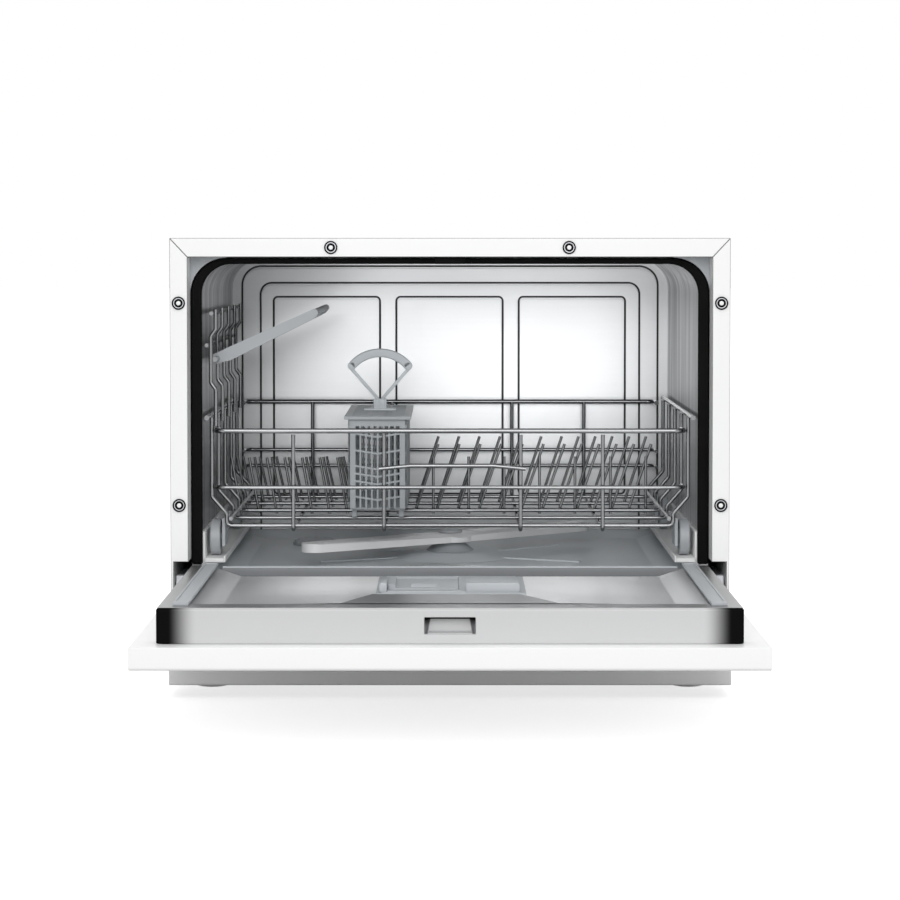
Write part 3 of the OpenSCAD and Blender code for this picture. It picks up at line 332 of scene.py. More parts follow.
def end_band(name, colour):
    """Satin moulding along the door's free edge, with a painted dark reflection at its round ends"""
    band = Finish(name, IOR=1.45, Specular_IOR_Level=0.0)
    x = band.axes()[0]
    drift = band.noise(9, 2, stretch=(0.3, 1, 1))
    # painted reflection: the band turns black towards its round ends
    ends = abs(x).ramp(BAND_HIGH.x - BAND_PAINTED_FADE, BAND_HIGH.x - BAND_PAINTED_DARK)
    pale = band.blend(drift, tint(colour, 0.94), tint(colour, 1.04))
    band.drive(Base_Color=band.blend(ends, pale, (0.006, 0.006, 0.006, 1)), Roughness=0.34 + drift * 0.08)
    band.relief(band.noise(1500, 2), 0.03 * MM, 0.3)
    return band.material


def mouth_lining(name, colour):
    """The same moulding inside the latch mouth, with painted shade: black under its top, grey on its cheeks
    """
    lining = Finish(name, IOR=1.45, Specular_IOR_Level=0.0)
    x, _, z = lining.axes()
    # painted shade: the cheeks darken towards the top, and a black band of painted shadow lies under the top
    height = z.ramp(MOUTH_Z - 2 * MM, MOUTH_Z + 5 * MM)
    cheek_shade = (abs(x) + (z - MOUTH_Z) * 0.2).ramp(17.2 * MM, 18.6 * MM)
    top = z.ramp(MOUTH_Z + 4.6 * MM, MOUTH_Z + 5.2 * MM)
    side = lining.blend(height, (0.2, 0.2, 0.21, 1), (0.04, 0.04, 0.042, 1))
    base = lining.blend(cheek_shade, tint(colour, 1.04), side)
    lining.drive(Base_Color=lining.blend(top, base, (0.004, 0.004, 0.004, 1)),
                 Roughness=0.34 + lining.noise(9, 2) * 0.08)
    lining.relief(lining.noise(1500, 2), 0.03 * MM, 0.3)
    return lining.material


def soft_rubber(name):
    """Black rubber with a dull bloom"""
    rubber = Finish(name, IOR=1.45, Specular_IOR_Level=0.04)
    bloom = rubber.noise(40, 4)
    rubber.drive(Base_Color=rubber.blend(bloom, (0.003, 0.003, 0.003, 1), (0.009, 0.009, 0.009, 1)),
                 Roughness=0.5 + bloom * 0.2)
    rubber.relief(rubber.noise(1300, 2), 0.03 * MM, 0.4)
    return rubber.material


def smoked_window(name):
    """Glossy black cover of the display"""
    window = Finish(name, IOR=1.5, Coat_Weight=0.6, Coat_Roughness=0.04)
    haze = window.noise(30, 2)
    window.drive(Base_Color=window.blend(haze, (0.006, 0.006, 0.007, 1), (0.012, 0.012, 0.014, 1)),
                 Roughness=0.1 + haze * 0.06)
    return window.material


def circuit_board(name):
    """Green lacquer over copper tracks"""
    board = Finish(name, IOR=1.5)
    z = board.axes()[2]
    rows = (z * 400.0).maths("FRACT")
    runs = board.noise(130, 0, stretch=(0.15, 1, 1))
    track = (rows > 0.55) * (runs > 0.5)
    board.drive(Base_Color=board.blend(track, (0.012, 0.07, 0.028, 1), (0.04, 0.17, 0.07, 1)),
                Roughness=0.3 + track * 0.1)
    board.relief(track, 0.05 * MM, 0.4)
    return board.material


def cast_concrete(name):
    """Rough cast counterweight"""
    cast = Finish(name, IOR=1.45)
    pits = cast.noise(260, 6, roughness=0.7)
    cast.drive(Base_Color=cast.blend(pits, (0.05, 0.05, 0.052, 1), (0.17, 0.17, 0.175, 1)),
               Roughness=0.75 + pits * 0.15)
    cast.relief(pits, 0.6 * MM, 0.7)
    return cast.material


# the pressed lines of the back wall, with painted shade in them, in millimetres. They are measured from a
# box WALL_INSET inside the tub's sides and top, whose foot lies WALL_FOOT below the top of the floor.
LINE_WIDTH = 2.3
WALL_INSET = 1.5
WALL_FOOT = 4.5
# the two outlines: distances from that box's sides and top, and corner radius. They run on below its foot.
OUTLINES = ((17.5, 8, 23), (38.5, 27, 14))
OUTLINE_RUN = 60
# the three panels: middles, half width, distances from that box's foot and top, and corner radius
PANEL_MIDDLES = (-141.0, -0.6, 139.5)
PANEL_HALF_W, PANEL_FOOT, PANEL_TOP, PANEL_CORNER = 62.0, 40, 43, 6
# depths of the uprights and heights of the cross lines painted dark on the side walls, and their width, in
# millimetres
SIDE_UPRIGHTS = (60.0, 189.0, 327.0)
SIDE_CROSS = (362.0, 380.0)
SIDE_LINE = 1.6
# middle and half width, middle and half height of the painted bright reflection on the back wall
GLOW_X, GLOW_HALF_W, GLOW_Z, GLOW_HALF_H = 40 * MM, 270 * MM, 345 * MM, 200 * MM
# how far the painted dark reflection at the round ends of the door's edge band reaches in
BAND_PAINTED_DARK, BAND_PAINTED_FADE = 11 * MM, 36 * MM
# middle height of the latch mouth, over the foot of the edge band
MOUTH_Z = BAND_LOW.z + 15.75 * MM


def round_box_line(x, z, centre, half, radius, width):
    """1 on a line of that width inside the outline of a rounded box, in metres"""
    across = abs(x - centre[0] * MM) - (half[0] - radius) * MM
    up = abs(z - centre[1] * MM) - (half[1] - radius) * MM
    outside = (across.larger(0.0) * across.larger(0.0) + up.larger(0.0) * up.larger(0.0)).maths("SQRT")
    distance = outside + across.larger(up).smaller(0.0) - radius * MM
    return 1.0 - abs(distance + width / 2 * MM).ramp((width / 2 - 0.35) * MM, (width / 2 + 0.15) * MM)


def wall_shade(steel):
    """Painted light and shade: a painted bright reflection in the middle of the back wall, painted shade with
    painted streaks of reflection on the side walls, lighter low down on the right
    """
    x, y, z = steel.axes()
    across = (x - GLOW_X) / GLOW_HALF_W
    up = (z - GLOW_Z) / GLOW_HALF_H
    # painted highlight: brightest in the middle of the back wall
    middle = (across * across + up * up).maths("SQRT").ramp(1.3, 0.45)
    painted_streaks = steel.noise(60, 2, stretch=(1, 1, 0.06)).ramp(0.35, 0.7)
    # painted shade on the side walls, with painted streaks of reflection, lighter low on the right
    side = 0.2 + painted_streaks * 0.38 + (x > 0.0) * z.ramp(300 * MM, 200 * MM) * 0.25
    back = (y > TUB_HIGH.y - 12 * MM)
    return back * (0.4 + middle * 0.6) + (1.0 - back) * side


def pan_shade(steel):
    """Painted shade: the door's pan stays bright, its rim and the hump of the lock are painted darker"""
    z = steel.axes()[2]
    return 1.0 - z.ramp(PANEL_HIGH.z - 8 * MM, PANEL_HIGH.z - 1.5 * MM) * 0.75


def pan_glow(steel):
    """The rear half of the pan is milky in the middle"""
    x, y, _ = steel.axes()
    return abs(x).ramp(205 * MM, 120 * MM) * y.ramp(FRONT_Y - 190 * MM, FRONT_Y - 70 * MM)


def wall_lines(steel):
    """Painted shade in the pressed lines of the back wall and of the side walls"""
    x, y, z = steel.axes()
    foot = FLOOR_HIGH.z / MM - WALL_FOOT
    top = TUB_HIGH.z / MM - WALL_INSET
    boxes = []
    for inset_side, inset_top, radius in OUTLINES:
        half_w = TUB_HIGH.x / MM - WALL_INSET - inset_side
        boxes.append((0, half_w, foot - OUTLINE_RUN, top - inset_top, radius))
    for middle in PANEL_MIDDLES:
        boxes.append((middle, PANEL_HALF_W, foot + PANEL_FOOT, top - PANEL_TOP, PANEL_CORNER))
    lines = [round_box_line(x, z, (middle, (low + high) / 2), (half_w, (high - low) / 2), radius, LINE_WIDTH)
             for middle, half_w, low, high, radius in boxes]
    return (largest(lines) * (y > TUB_HIGH.y - 3 * MM)).larger(side_lines(x, y, z))


def side_lines(x, y, z):
    """Painted shade in the pressed lines of the side walls: uprights under a cross line, and a second cross
    line above
    """
    half = SIDE_LINE / 2 * MM
    on_side = (abs(x) > TUB_HIGH.x - 4 * MM) * (y < TUB_HIGH.y - 30 * MM)
    uprights = largest([abs(y - (FRONT_Y + depth * MM)) < half for depth in SIDE_UPRIGHTS])
    crosses = [abs(z - height * MM) < half for height in SIDE_CROSS]
    return largest([uprights * (z < SIDE_CROSS[0] * MM), *crosses]) * on_side * 0.75


def make_finishes(colours):
    """Every finish by name: the function that makes it, and what that is given after the name"""
    rows = {
        "white_paint": (painted_steel, colours.paint),
        # painted shade: a dark copy of the white paint for the frame's rounded edges
        "paint_edge": (painted_steel, scaled(colours.paint, 0.3)),
        "white_plastic": (moulded_plastic, colours.paint, 0.36, 0.03),
        "stainless": (pressed_steel, colours.steel, 0.3),
        # painted light: the pan and the tub take brighter copies of the steel colour
        "pan_steel": (pressed_steel, scaled(colours.steel, 1.4), 0.34, pan_shade, None, pan_glow),
        "tub_steel": (pressed_steel, scaled(colours.steel, 1.25), 0.38, wall_shade, wall_lines),
        "wire_steel": (polished_wire, colours.wire),
        "zinc_steel": (plated_zinc, colours.zinc),
        "pale_plastic": (moulded_plastic, colours.pale),
        "basket_plastic": (moulded_plastic, scaled(colours.pale, 0.58)),
        "grip_plastic": (moulded_plastic, scaled(colours.pale, 0.98)),
        "grey_plastic": (moulded_plastic, colours.grey),
        "light_plastic": (moulded_plastic, colours.light, 0.36),
        "end_band": (end_band, scaled(colours.light, 0.68)),
        "mouth_lining": (mouth_lining, scaled(colours.light, 0.7)),
        # painted shade: the sill seal is a darker copy of the grey plastic, standing in for the shaded gap at
        # the door's foot
        "sill_plastic": (moulded_plastic, scaled(colours.grey, 0.5)),
        "dark_plastic": (moulded_plastic, (0.045, 0.047, 0.05), 0.5),
        "black_gloss": (smoked_window,),
        "black_rubber": (soft_rubber,),
        "board_green": (circuit_board,),
        "cast_weight": (cast_concrete,),
    }
    return {name: make(name, *values) for name, (make, *values) in rows.items()}


FINISHES = {}


# ---- modelling helpers ----
def pick(piece):
    if bpy.context.object and bpy.context.object.mode != "OBJECT":
        bpy.ops.object.mode_set(mode="OBJECT")
    bpy.ops.object.select_all(action="DESELECT")
    piece.select_set(True)
    bpy.context.view_layer.objects.active = piece


def work_on(piece, select="EDGE"):
    """Opens the piece in edit mode with nothing selected"""
    pick(piece)
    bpy.ops.object.mode_set(mode="EDIT")
    bpy.ops.mesh.select_mode(type=select)
    bpy.ops.mesh.select_all(action="DESELECT")


def leave():
    bpy.ops.object.mode_set(mode="OBJECT")


def choose(piece, kind, wanted):
    """Opens the piece in edit mode with the vertices or faces selected that wanted accepts"""
    work_on(piece, kind)
    leave()
    for item in piece.data.vertices if kind == "VERT" else piece.data.polygons:
        item.select = bool(wanted(item))
    bpy.ops.object.mode_set(mode="EDIT")


def place_at(piece, place, turn=(0, 0, 0)):
    """Turns and moves a new piece, and leaves its object at the origin"""
    pick(piece)
    piece.rotation_euler = turn
    piece.location = place
    bpy.ops.object.transform_apply(location=True, rotation=True, scale=True)
    return piece


def joined(parts, name):
    pick(parts[0])
    for part in parts[1:]:
        part.select_set(True)
    bpy.ops.object.join()
    piece = bpy.context.object
    piece.name = name
    piece.data.name = name
    return piece


def sized(size, kind="EDGE"):
    """Scales the piece that was just added, and leaves it open in edit mode"""
    piece = bpy.context.object
    work_on(piece, kind)
    bpy.ops.mesh.select_all(action="SELECT")
    bpy.ops.transform.resize(value=size)
    return piece


def thicken(piece, wall, offset):
    """Gives a sheet its thickness: centred at offset 0, behind its face at offset -1"""
    pick(piece)
    solid = piece.modifiers.new("wall", "SOLIDIFY")
    solid.thickness = wall
    solid.offset = offset
    bpy.ops.object.modifier_apply(modifier=solid.name)


def block(place, size, turn=(0, 0, 0)):
    bpy.ops.mesh.primitive_cube_add(size=1)
    piece = sized(size)
    leave()
    return place_at(piece, place, turn)


def lattice_plate(across, up, bar, wall, opened, dip=0.0):
    """A plate whose grid lines lie at the given places, with a hole in each cell that opened accepts.
    The inner lines sag by dip towards the middle of the plate."""
    bpy.ops.mesh.primitive_grid_add(x_subdivisions=len(across) - 1, y_subdivisions=len(up) - 1, size=1)
    plate = bpy.context.object
    counts = (len(across) - 1, len(up) - 1)
    lines = [[round((vertex.co[axis] + 0.5) * counts[axis]) for axis in (0, 1)]
             for vertex in plate.data.vertices]
    cells = [[int((face.center[axis] + 0.5) * counts[axis]) for axis in (0, 1)]
             for face in plate.data.polygons]
    for axis, targets in enumerate((across, up)):
        for number, target in enumerate(targets):
            move = [0.0, 0.0, 0.0]
            move[axis] = target - (number / counts[axis] - 0.5)
            choose(plate, "VERT", lambda vertex: lines[vertex.index][axis] == number)
            bpy.ops.transform.translate(value=move)
            leave()
    if dip:
        for number, x in enumerate(across):
            sag = dip * max(0.0, 1 - abs(x) / across[-2])
            choose(plate, "VERT", lambda vertex: lines[vertex.index][0] == number
                   and 1 < lines[vertex.index][1] < counts[1] - 1)
            bpy.ops.transform.translate(value=(0, -sag, 0))
            leave()
    choose(plate, "FACE", lambda face: opened(*cells[face.index]))
    bpy.ops.mesh.inset(thickness=bar / 2, use_individual=True)
    bpy.ops.mesh.delete(type="FACE")
    leave()
    thicken(plate, wall, 0)
    return plate


def spread(half, margin, count):
    """Grid lines from -half to half: a margin at each end and count even cells between"""
    inner = half - margin
    return [-half, *[inner * (2 * i / count - 1) for i in range(count + 1)], half]


def copy_of(node, name):
    """A merged copy of a CAD node's mesh, with whole faces in place of its triangles"""
    pick(NODES[node])
    bpy.ops.object.duplicate()
    piece = bpy.context.object
    bpy.ops.object.parent_clear(type="CLEAR_KEEP_TRANSFORM")
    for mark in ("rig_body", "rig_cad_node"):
        del piece[mark]
    piece.name = name
    piece.data.name = name
    work_on(piece)
    bpy.ops.mesh.select_all(action="SELECT")
    bpy.ops.mesh.remove_doubles(threshold=0.004 * MM)
    bpy.ops.mesh.customdata_custom_splitnormals_clear()
    bpy.ops.mesh.dissolve_limited(angle_limit=radians(0.6), use_dissolve_boundaries=False)
    leave()
    return piece


def select_sharp(piece, turn, place=None):
    """Selects the edges that turn more than turn degrees and whose middle place accepts"""
    work_on(piece)
    bpy.ops.mesh.edges_select_sharp(sharpness=radians(turn))
    leave()
    mesh = piece.data
    if place:
        for edge in mesh.edges:
            if edge.select:
                ends = [mesh.vertices[i].co for i in edge.vertices]
                edge.select = bool(place((ends[0] + ends[1]) / 2, ends[1] - ends[0]))
    for vertex in mesh.vertices:
        vertex.select = False
    for face in mesh.polygons:
        face.select = False
    bpy.ops.object.mode_set(mode="EDIT")
    bpy.ops.mesh.select_mode(type="EDGE")


def round_edges(piece, radius, segments=2, turn=28, place=None, material=-1):
    select_sharp(piece, turn, place)
    bpy.ops.mesh.bevel(offset=radius, segments=segments, profile=0.5, clamp_overlap=True, material=material)
    leave()


def smooth(piece, turn=35):
    pick(piece)
    bpy.ops.object.shade_smooth_by_angle(angle=radians(turn))


def even_normals(piece):
    """Keeps large faces flat beside their rounded edges"""
    pick(piece)
    normals = piece.modifiers.new("even", "WEIGHTED_NORMAL")
    normals.keep_sharp = True
    bpy.ops.object.modifier_apply(modifier=normals.name)


def finish_piece(piece, body, finish, slot, *replaced):
    piece.data.materials.clear()
    piece.data.materials.append(FINISHES[finish])
    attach(piece, body)
    if replaced:
        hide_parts(*replaced)


def rounded_node(node, radius, segments=2, turn=28, finish=None):
    """A CAD node with its sharp edges rounded"""
    piece = copy_of(node, node + "_rounded")
    round_edges(piece, radius, segments, turn)
    smooth(piece)
    even_normals(piece)
    finish_piece(piece, BODIES[node], finish or SLOTS[node], SLOTS[node], node)


# ---- operators ----
class DISHWASHER_OT_finishes(bpy.types.Operator):
    """Makes every material and gives each carried-over node its finish"""
    bl_idname = "dishwasher.finishes"
    bl_label = "Finishes"

    def execute(self, context):
        FINISHES.update(make_finishes(context.scene.dishwasher_colours))
        for name, node in NODES.items():
            node.data.materials.clear()
            node.data.materials.append(FINISHES[SLOTS[name]])
        return {"FINISHED"}


class DISHWASHER_OT_painted_case(bpy.types.Operator):
    """Rounds the edges of the painted frame, cover, side panels and door panel, with painted shade on the
    frame's rounded edges
    """
    bl_idname = "dishwasher.painted_case"
    bl_label = "Painted case"

    def execute(self, context):
        edge = context.scene.dishwasher_sizes.sheet_edge
        for node in ("frame_top", "frame_left", "frame_right"):
            piece = copy_of(node, node + "_rounded")
            piece.data.materials.clear()
            for finish in ("white_paint", "paint_edge"):
                piece.data.materials.append(FINISHES[finish])
            # the frame's rounded edges take the dark paint as painted shade
            round_edges(piece, edge * 1.2, material=1)
            smooth(piece)
            even_normals(piece)
            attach(piece, BODIES[node])
            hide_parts(node)
        for node in ("top_cover", "side_panel_left", "side_panel_right", "rear_panel"):
            rounded_node(node, edge * 0.7)
        rounded_node("door_outer", edge * 2)
        return {"FINISHED"}


class DISHWASHER_OT_mouldings(bpy.types.Operator):
    """Rounds the edges of the plastic mouldings"""
    bl_idname = "dishwasher.mouldings"
    bl_label = "Plastic mouldings"

    def execute(self, context):
        edge = context.scene.dishwasher_sizes.moulded_edge
        radii = {
            "fascia": 1.0, "power_button": 0.9, "programme_button": 0.9, "delay_button": 0.9,
            "start_button": 0.9, "tub_rails": 1.0, "spray_hub": 1.0, "filter_cup": 0.8, "salt_cap": 0.8,
            "door_tracks": 0.7, "roller_brackets": 1.2, "cup_shelf": 0.7, "water_valve": 0.8,
            "cable_gland": 0.8, "display_window": 0.4, "base_pan": 0.6,
        }
        for node, share in radii.items():
            rounded_node(node, edge * share)
        for node, share, finish in (("feet", 1.2, "white_plastic"), ("sill_seal", 0.9, "sill_plastic"),
                                    ("frame_gussets", 0.3, "grey_plastic"),
                                    ("latch_housing", 1.0, "black_rubber"),
                                    ("latch_hook", 0.8, "black_rubber")):
            rounded_node(node, edge * share, finish=finish)
        return {"FINISHED"}


class DISHWASHER_OT_gasket(bpy.types.Operator):
    """Gives the door gasket its round rubber section"""
    bl_idname = "dishwasher.gasket"
    bl_label = "Gasket"

    def execute(self, context):
        rounded_node("door_gasket", context.scene.dishwasher_sizes.gasket_edge, 4)
        return {"FINISHED"}


class DISHWASHER_OT_tub(bpy.types.Operator):
    """Softens the pressed lines and edges of the steel tub"""
    bl_idname = "dishwasher.tub"
    bl_label = "Tub"

    def execute(self, context):
        rounded_node("tub", 0.35 * MM, 2, finish="tub_steel")
        return {"FINISHED"}


class DISHWASHER_OT_tub_floor(bpy.types.Operator):
    """Softens the moulded floor of the chamber"""
    bl_idname = "dishwasher.tub_floor"
    bl_label = "Chamber floor"

    def execute(self, context):
        rounded_node("tub_floor", 1.6 * MM, 3, turn=8)
        return {"FINISHED"}


class DISHWASHER_OT_spray_arm(bpy.types.Operator):
    """Rounds the spray arm's long edges"""
    bl_idname = "dishwasher.spray_arm"
    bl_label = "Spray arm"

    def execute(self, context):
        rounded_node("spray_arm", 1.2 * MM, 3, turn=20)
        return {"FINISHED"}


class DISHWASHER_OT_door_panel(bpy.types.Operator):
    """Draws the steel inner panel of the door, with the soft folds of its pan, and its moulded edge"""
    bl_idname = "dishwasher.door_panel"
    bl_label = "Inner door"
    # the outline that stays sharp, and how far below the panel's top the folds of the pan are looked for
    rim = 2 * MM
    drawn = 12.5 * MM

    def execute(self, context):
        radius = context.scene.dishwasher_sizes.pan_edge
        piece = copy_of("door_inner", "door_inner_pressed")

        def on_pan(middle, run):
            """Accepts the folds of the pan, away from the panel's outline"""
            across = abs(middle.x) < PANEL_HIGH.x - self.rim
            along = PANEL_LOW.y + self.rim < middle.y < PANEL_HIGH.y - self.rim
            return across and along and middle.z > PANEL_HIGH.z - self.drawn

        round_edges(piece, radius * 0.7, 4, 6, on_pan)
        round_edges(piece, 0.5 * MM, 2, 40, lambda middle, run: middle.z > PANEL_HIGH.z - 0.1 * MM)
        smooth(piece, 40)
        even_normals(piece)
        finish_piece(piece, "door", "pan_steel", SLOTS["door_inner"], "door_inner")
        rounded_node("door_end_band", 0.9 * MM, 3, finish="end_band")
        return {"FINISHED"}


# heights of the lattice bars, as shares of the wall's height
BAR_ROWS = (0.012, 0.147, 0.32, 0.404, 0.487, 0.66, 0.845, 0.936)
# thickness of the basket's walls, width of its bars, thickness and overhang of its deck
BASKET_WALL = 2.2 * MM
BASKET_BAR = 2 * MM
BASKET_RIM = 3.5 * MM
BASKET_LIP = 4 * MM
# the grip: width and depth of its arc, half its turn, its legs' thickness and where they meet over the deck
GRIP_BAND = 9 * MM
GRIP_DEPTH = 8 * MM
GRIP_HALF_TURN = radians(49.6)
GRIP_LEG = 3.2 * MM
GRIP_POST = 12 * MM
# its post: height of the middle over the deck, core, ribs with their step, and foot plate
POST_Z = 6.3 * MM
POST_CORE = (14 * MM, 5 * MM, 12.2 * MM)
POST_RIB = (2.4 * MM, GRIP_DEPTH, 12.4 * MM)
RIB_STEP = 5.6 * MM
POST_PLATE = (34 * MM, 14 * MM, 2.4 * MM)


class DISHWASHER_OT_basket(bpy.types.Operator):
    """Moulds the latticed cutlery basket with its deck and feet, and its fan-shaped grip"""
    bl_idname = "dishwasher.basket"
    bl_label = "Cutlery basket"

    def execute(self, context):
        sizes = context.scene.dishwasher_sizes
        low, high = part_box("cutlery_basket")
        x = (low.x + high.x) / 2
        y = (low.y + high.y) / 2
        half_w = sizes.basket_w / 2
        half_l = (high.y - low.y) / 2 - BASKET_LIP
        bottom = low.z + sizes.basket_feet
        deck = low.z + sizes.basket_h
        height = deck - BASKET_RIM - bottom
        up = [0.0, *[share * height for share in BAR_ROWS], height]
        end = spread(half_w, 6.5 * MM, 8)
        side = spread(half_l, 9 * MM, 22)
        wall_x = half_w - BASKET_WALL / 2
        wall_y = half_l - BASKET_WALL / 2
        parts = []
        for s in (-1, 0, 1):
            parts.append(self.wall(end, up, (x, y + s * wall_y, bottom), 0, sizes.basket_dip))
        for s in (-1, 1):
            parts.append(self.wall(side, up, (x + s * wall_x, y, bottom), pi / 2, 0.0))
        floor = lattice_plate(spread(half_w, 5 * MM, 4), spread(half_l, 5 * MM, 16),
                              3 * MM, BASKET_WALL, self.inner(4, 16))
        parts.append(place_at(floor, (x, y, bottom + BASKET_WALL / 2)))
        lid = lattice_plate(spread(half_w + BASKET_LIP, BASKET_LIP + 1 * MM, 3),
                            spread(half_l + BASKET_LIP, 6 * MM, 14), 5 * MM, BASKET_RIM, self.inner(3, 14))
        parts.append(place_at(lid, (x, y, deck - BASKET_RIM / 2)))
        for across in (-1, 1):
            for along in (-1, 1):
                spot = (x + across * (half_w - 6 * MM), y + along * (half_l - 12 * MM), (low.z + bottom) / 2)
                parts.append(block(spot, (5 * MM, 9 * MM, bottom - low.z)))
        body = joined(parts, "basket_body")
        round_edges(body, 0.35 * MM, 1, 50)
        smooth(body)
        finish_piece(body, "cutlery_basket", "basket_plastic", SLOTS["cutlery_basket"], "cutlery_basket")
        self.grip(sizes, x, y, deck)
        return {"FINISHED"}

    def inner(self, columns, rows):
        """Accepts the cells inside a plate's margins"""
        return lambda column, row: 0 < column <= columns and 0 < row <= rows

    def wall(self, across, up, place, turn, dip):
        rows = len(BAR_ROWS) - 1
        plate = lattice_plate(across, up, BASKET_BAR, BASKET_WALL, self.inner(len(across) - 3, rows), dip)
        return place_at(plate, place, (pi / 2, 0, turn))

    def grip(self, sizes, x, y, deck):
        """An arc to hold, two thin legs that meet, and a ribbed post"""
        centre = deck + sizes.grip_top - sizes.grip_r
        middle_r = sizes.grip_r - GRIP_BAND / 2
        bpy.ops.mesh.primitive_plane_add(size=1)
        arc = sized((GRIP_BAND, GRIP_DEPTH, 1))
        bpy.ops.mesh.bevel(offset=1.5 * MM, segments=3, affect="VERTICES")
        bpy.ops.mesh.select_all(action="SELECT")
        bpy.ops.transform.translate(value=(middle_r, 0, 0))
        bpy.ops.mesh.spin(steps=36, angle=2 * GRIP_HALF_TURN, center=(0, 0, 0), axis=(0, 1, 0))
        bpy.ops.mesh.select_all(action="SELECT")
        bpy.ops.mesh.normals_make_consistent(inside=False)
        leave()
        # the band may have been spun either way, and is turned back to stand upright
        spun_up = max(vertex.co.z for vertex in arc.data.vertices) > middle_r * 0.5
        half_turn = GRIP_HALF_TURN if spun_up else -GRIP_HALF_TURN
        place_at(arc, (x, y, centre), (0, half_turn - pi / 2, 0))
        foot = Vector((0, 0, GRIP_POST + deck - centre))
        parts = [arc]
        for s in (-1, 1):
            end = Vector((s * middle_r * sin(GRIP_HALF_TURN), 0, middle_r * cos(GRIP_HALF_TURN)))
            bpy.ops.mesh.primitive_cylinder_add(vertices=32, radius=GRIP_BAND / 2, depth=GRIP_DEPTH)
            parts.append(place_at(bpy.context.object, (x + end.x, y, centre + end.z), (pi / 2, 0, 0)))
            tip = end + Vector((s * 2.4 * MM, 0, -1 * MM))
            leg = tip - (foot + Vector((s * 2 * MM, 0, 0)))
            middle = tip - leg / 2
            size = (GRIP_DEPTH - 2 * MM, GRIP_LEG, leg.length)
            parts.append(block((x + middle.x, y, centre + middle.z), size,
                               leg.to_track_quat("Z", "Y").to_euler()))
        parts.append(block((x, y, deck + POST_Z), POST_CORE))
        for rib in (-1, 0, 1):
            parts.append(block((x + rib * RIB_STEP, y, deck + POST_Z), POST_RIB))
        parts.append(block((x, y, deck + POST_PLATE[2] / 2), POST_PLATE))
        grip = joined(parts, "basket_grip")
        round_edges(grip, 0.7 * MM, 2, 50)
        smooth(grip, 40)
        finish_piece(grip, "cutlery_basket", "grip_plastic", SLOTS["cutlery_basket"])


class DISHWASHER_OT_dispenser(bpy.types.Operator):
    """Rounds the dispenser's housing, lid and cap, and adds the two raised blocks along its free edge"""
    bl_idname = "dishwasher.dispenser"
    bl_label = "Dispenser"
    depth = 30 * MM
    rise = 9 * MM
    left = (-66 * MM, -59 * MM)
    right = (15 * MM, 65 * MM)

    def execute(self, context):
        edge = context.scene.dishwasher_sizes.moulded_edge
        for node, share in (("dispenser_housing", 1.2), ("detergent_lid", 0.7), ("rinse_aid_cap", 0.8)):
            rounded_node(node, edge * share, finish="grey_plastic")
        low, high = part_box("dispenser_housing")
        front = low.y + 5 * MM
        z = high.z - 1 * MM + self.rise / 2
        for name, (x0, x1), outer in (("dispenser_block_left", self.left, self.left[0]),
                                      ("dispenser_block_right", self.right, self.right[1])):
            piece = block(((x0 + x1) / 2, front + self.depth / 2, z), (x1 - x0, self.depth, self.rise))
            piece.name = name
            # the edges along the block's outer end are rounder than the rest
            round_edges(piece, 2.5 * MM, 4, 28,
                        lambda middle, run: abs(middle.x - outer) < 1 * MM and abs(run.y) > 1 * MM)
            round_edges(piece, 0.6 * MM, 2, 50)
            smooth(piece, 40)
            finish_piece(piece, "door", "grey_plastic", SLOTS["dispenser_housing"])
        return {"FINISHED"}


class DISHWASHER_OT_cup_shelf_knobs(bpy.types.Operator):
    """Sets the knobs along the free edge of the cup shelf"""
    bl_idname = "dishwasher.cup_shelf_knobs"
    bl_label = "Cup shelf knobs"
    shares = (0.62, 0.78, 0.9)
    knob = (5 * MM, 6 * MM, 4 * MM)
    proud = 1.8 * MM

    def execute(self, context):
        low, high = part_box("cup_shelf")
        foot = Vector((low.x + 4 * MM, 0, low.z + 3 * MM))
        tip = Vector((high.x, 0, high.z - 3.5 * MM))
        run = tip - foot
        turn = (0, -atan(run.z / run.x), 0)
        rows = [low.y + 4 * MM + i * (high.y - low.y - 8 * MM) / 3 for i in range(4)]
        knobs = []
        for y in rows:
            for share in self.shares:
                spot = foot + run * share
                knobs.append(block((spot.x, y, spot.z + self.proud), self.knob, turn))
        piece = joined(knobs, "cup_shelf_knobs")
        round_edges(piece, 0.9 * MM, 2, 50)
        smooth(piece, 40)
        finish_piece(piece, BODIES["cup_shelf"], "grey_plastic", SLOTS["cup_shelf"])
        return {"FINISHED"}


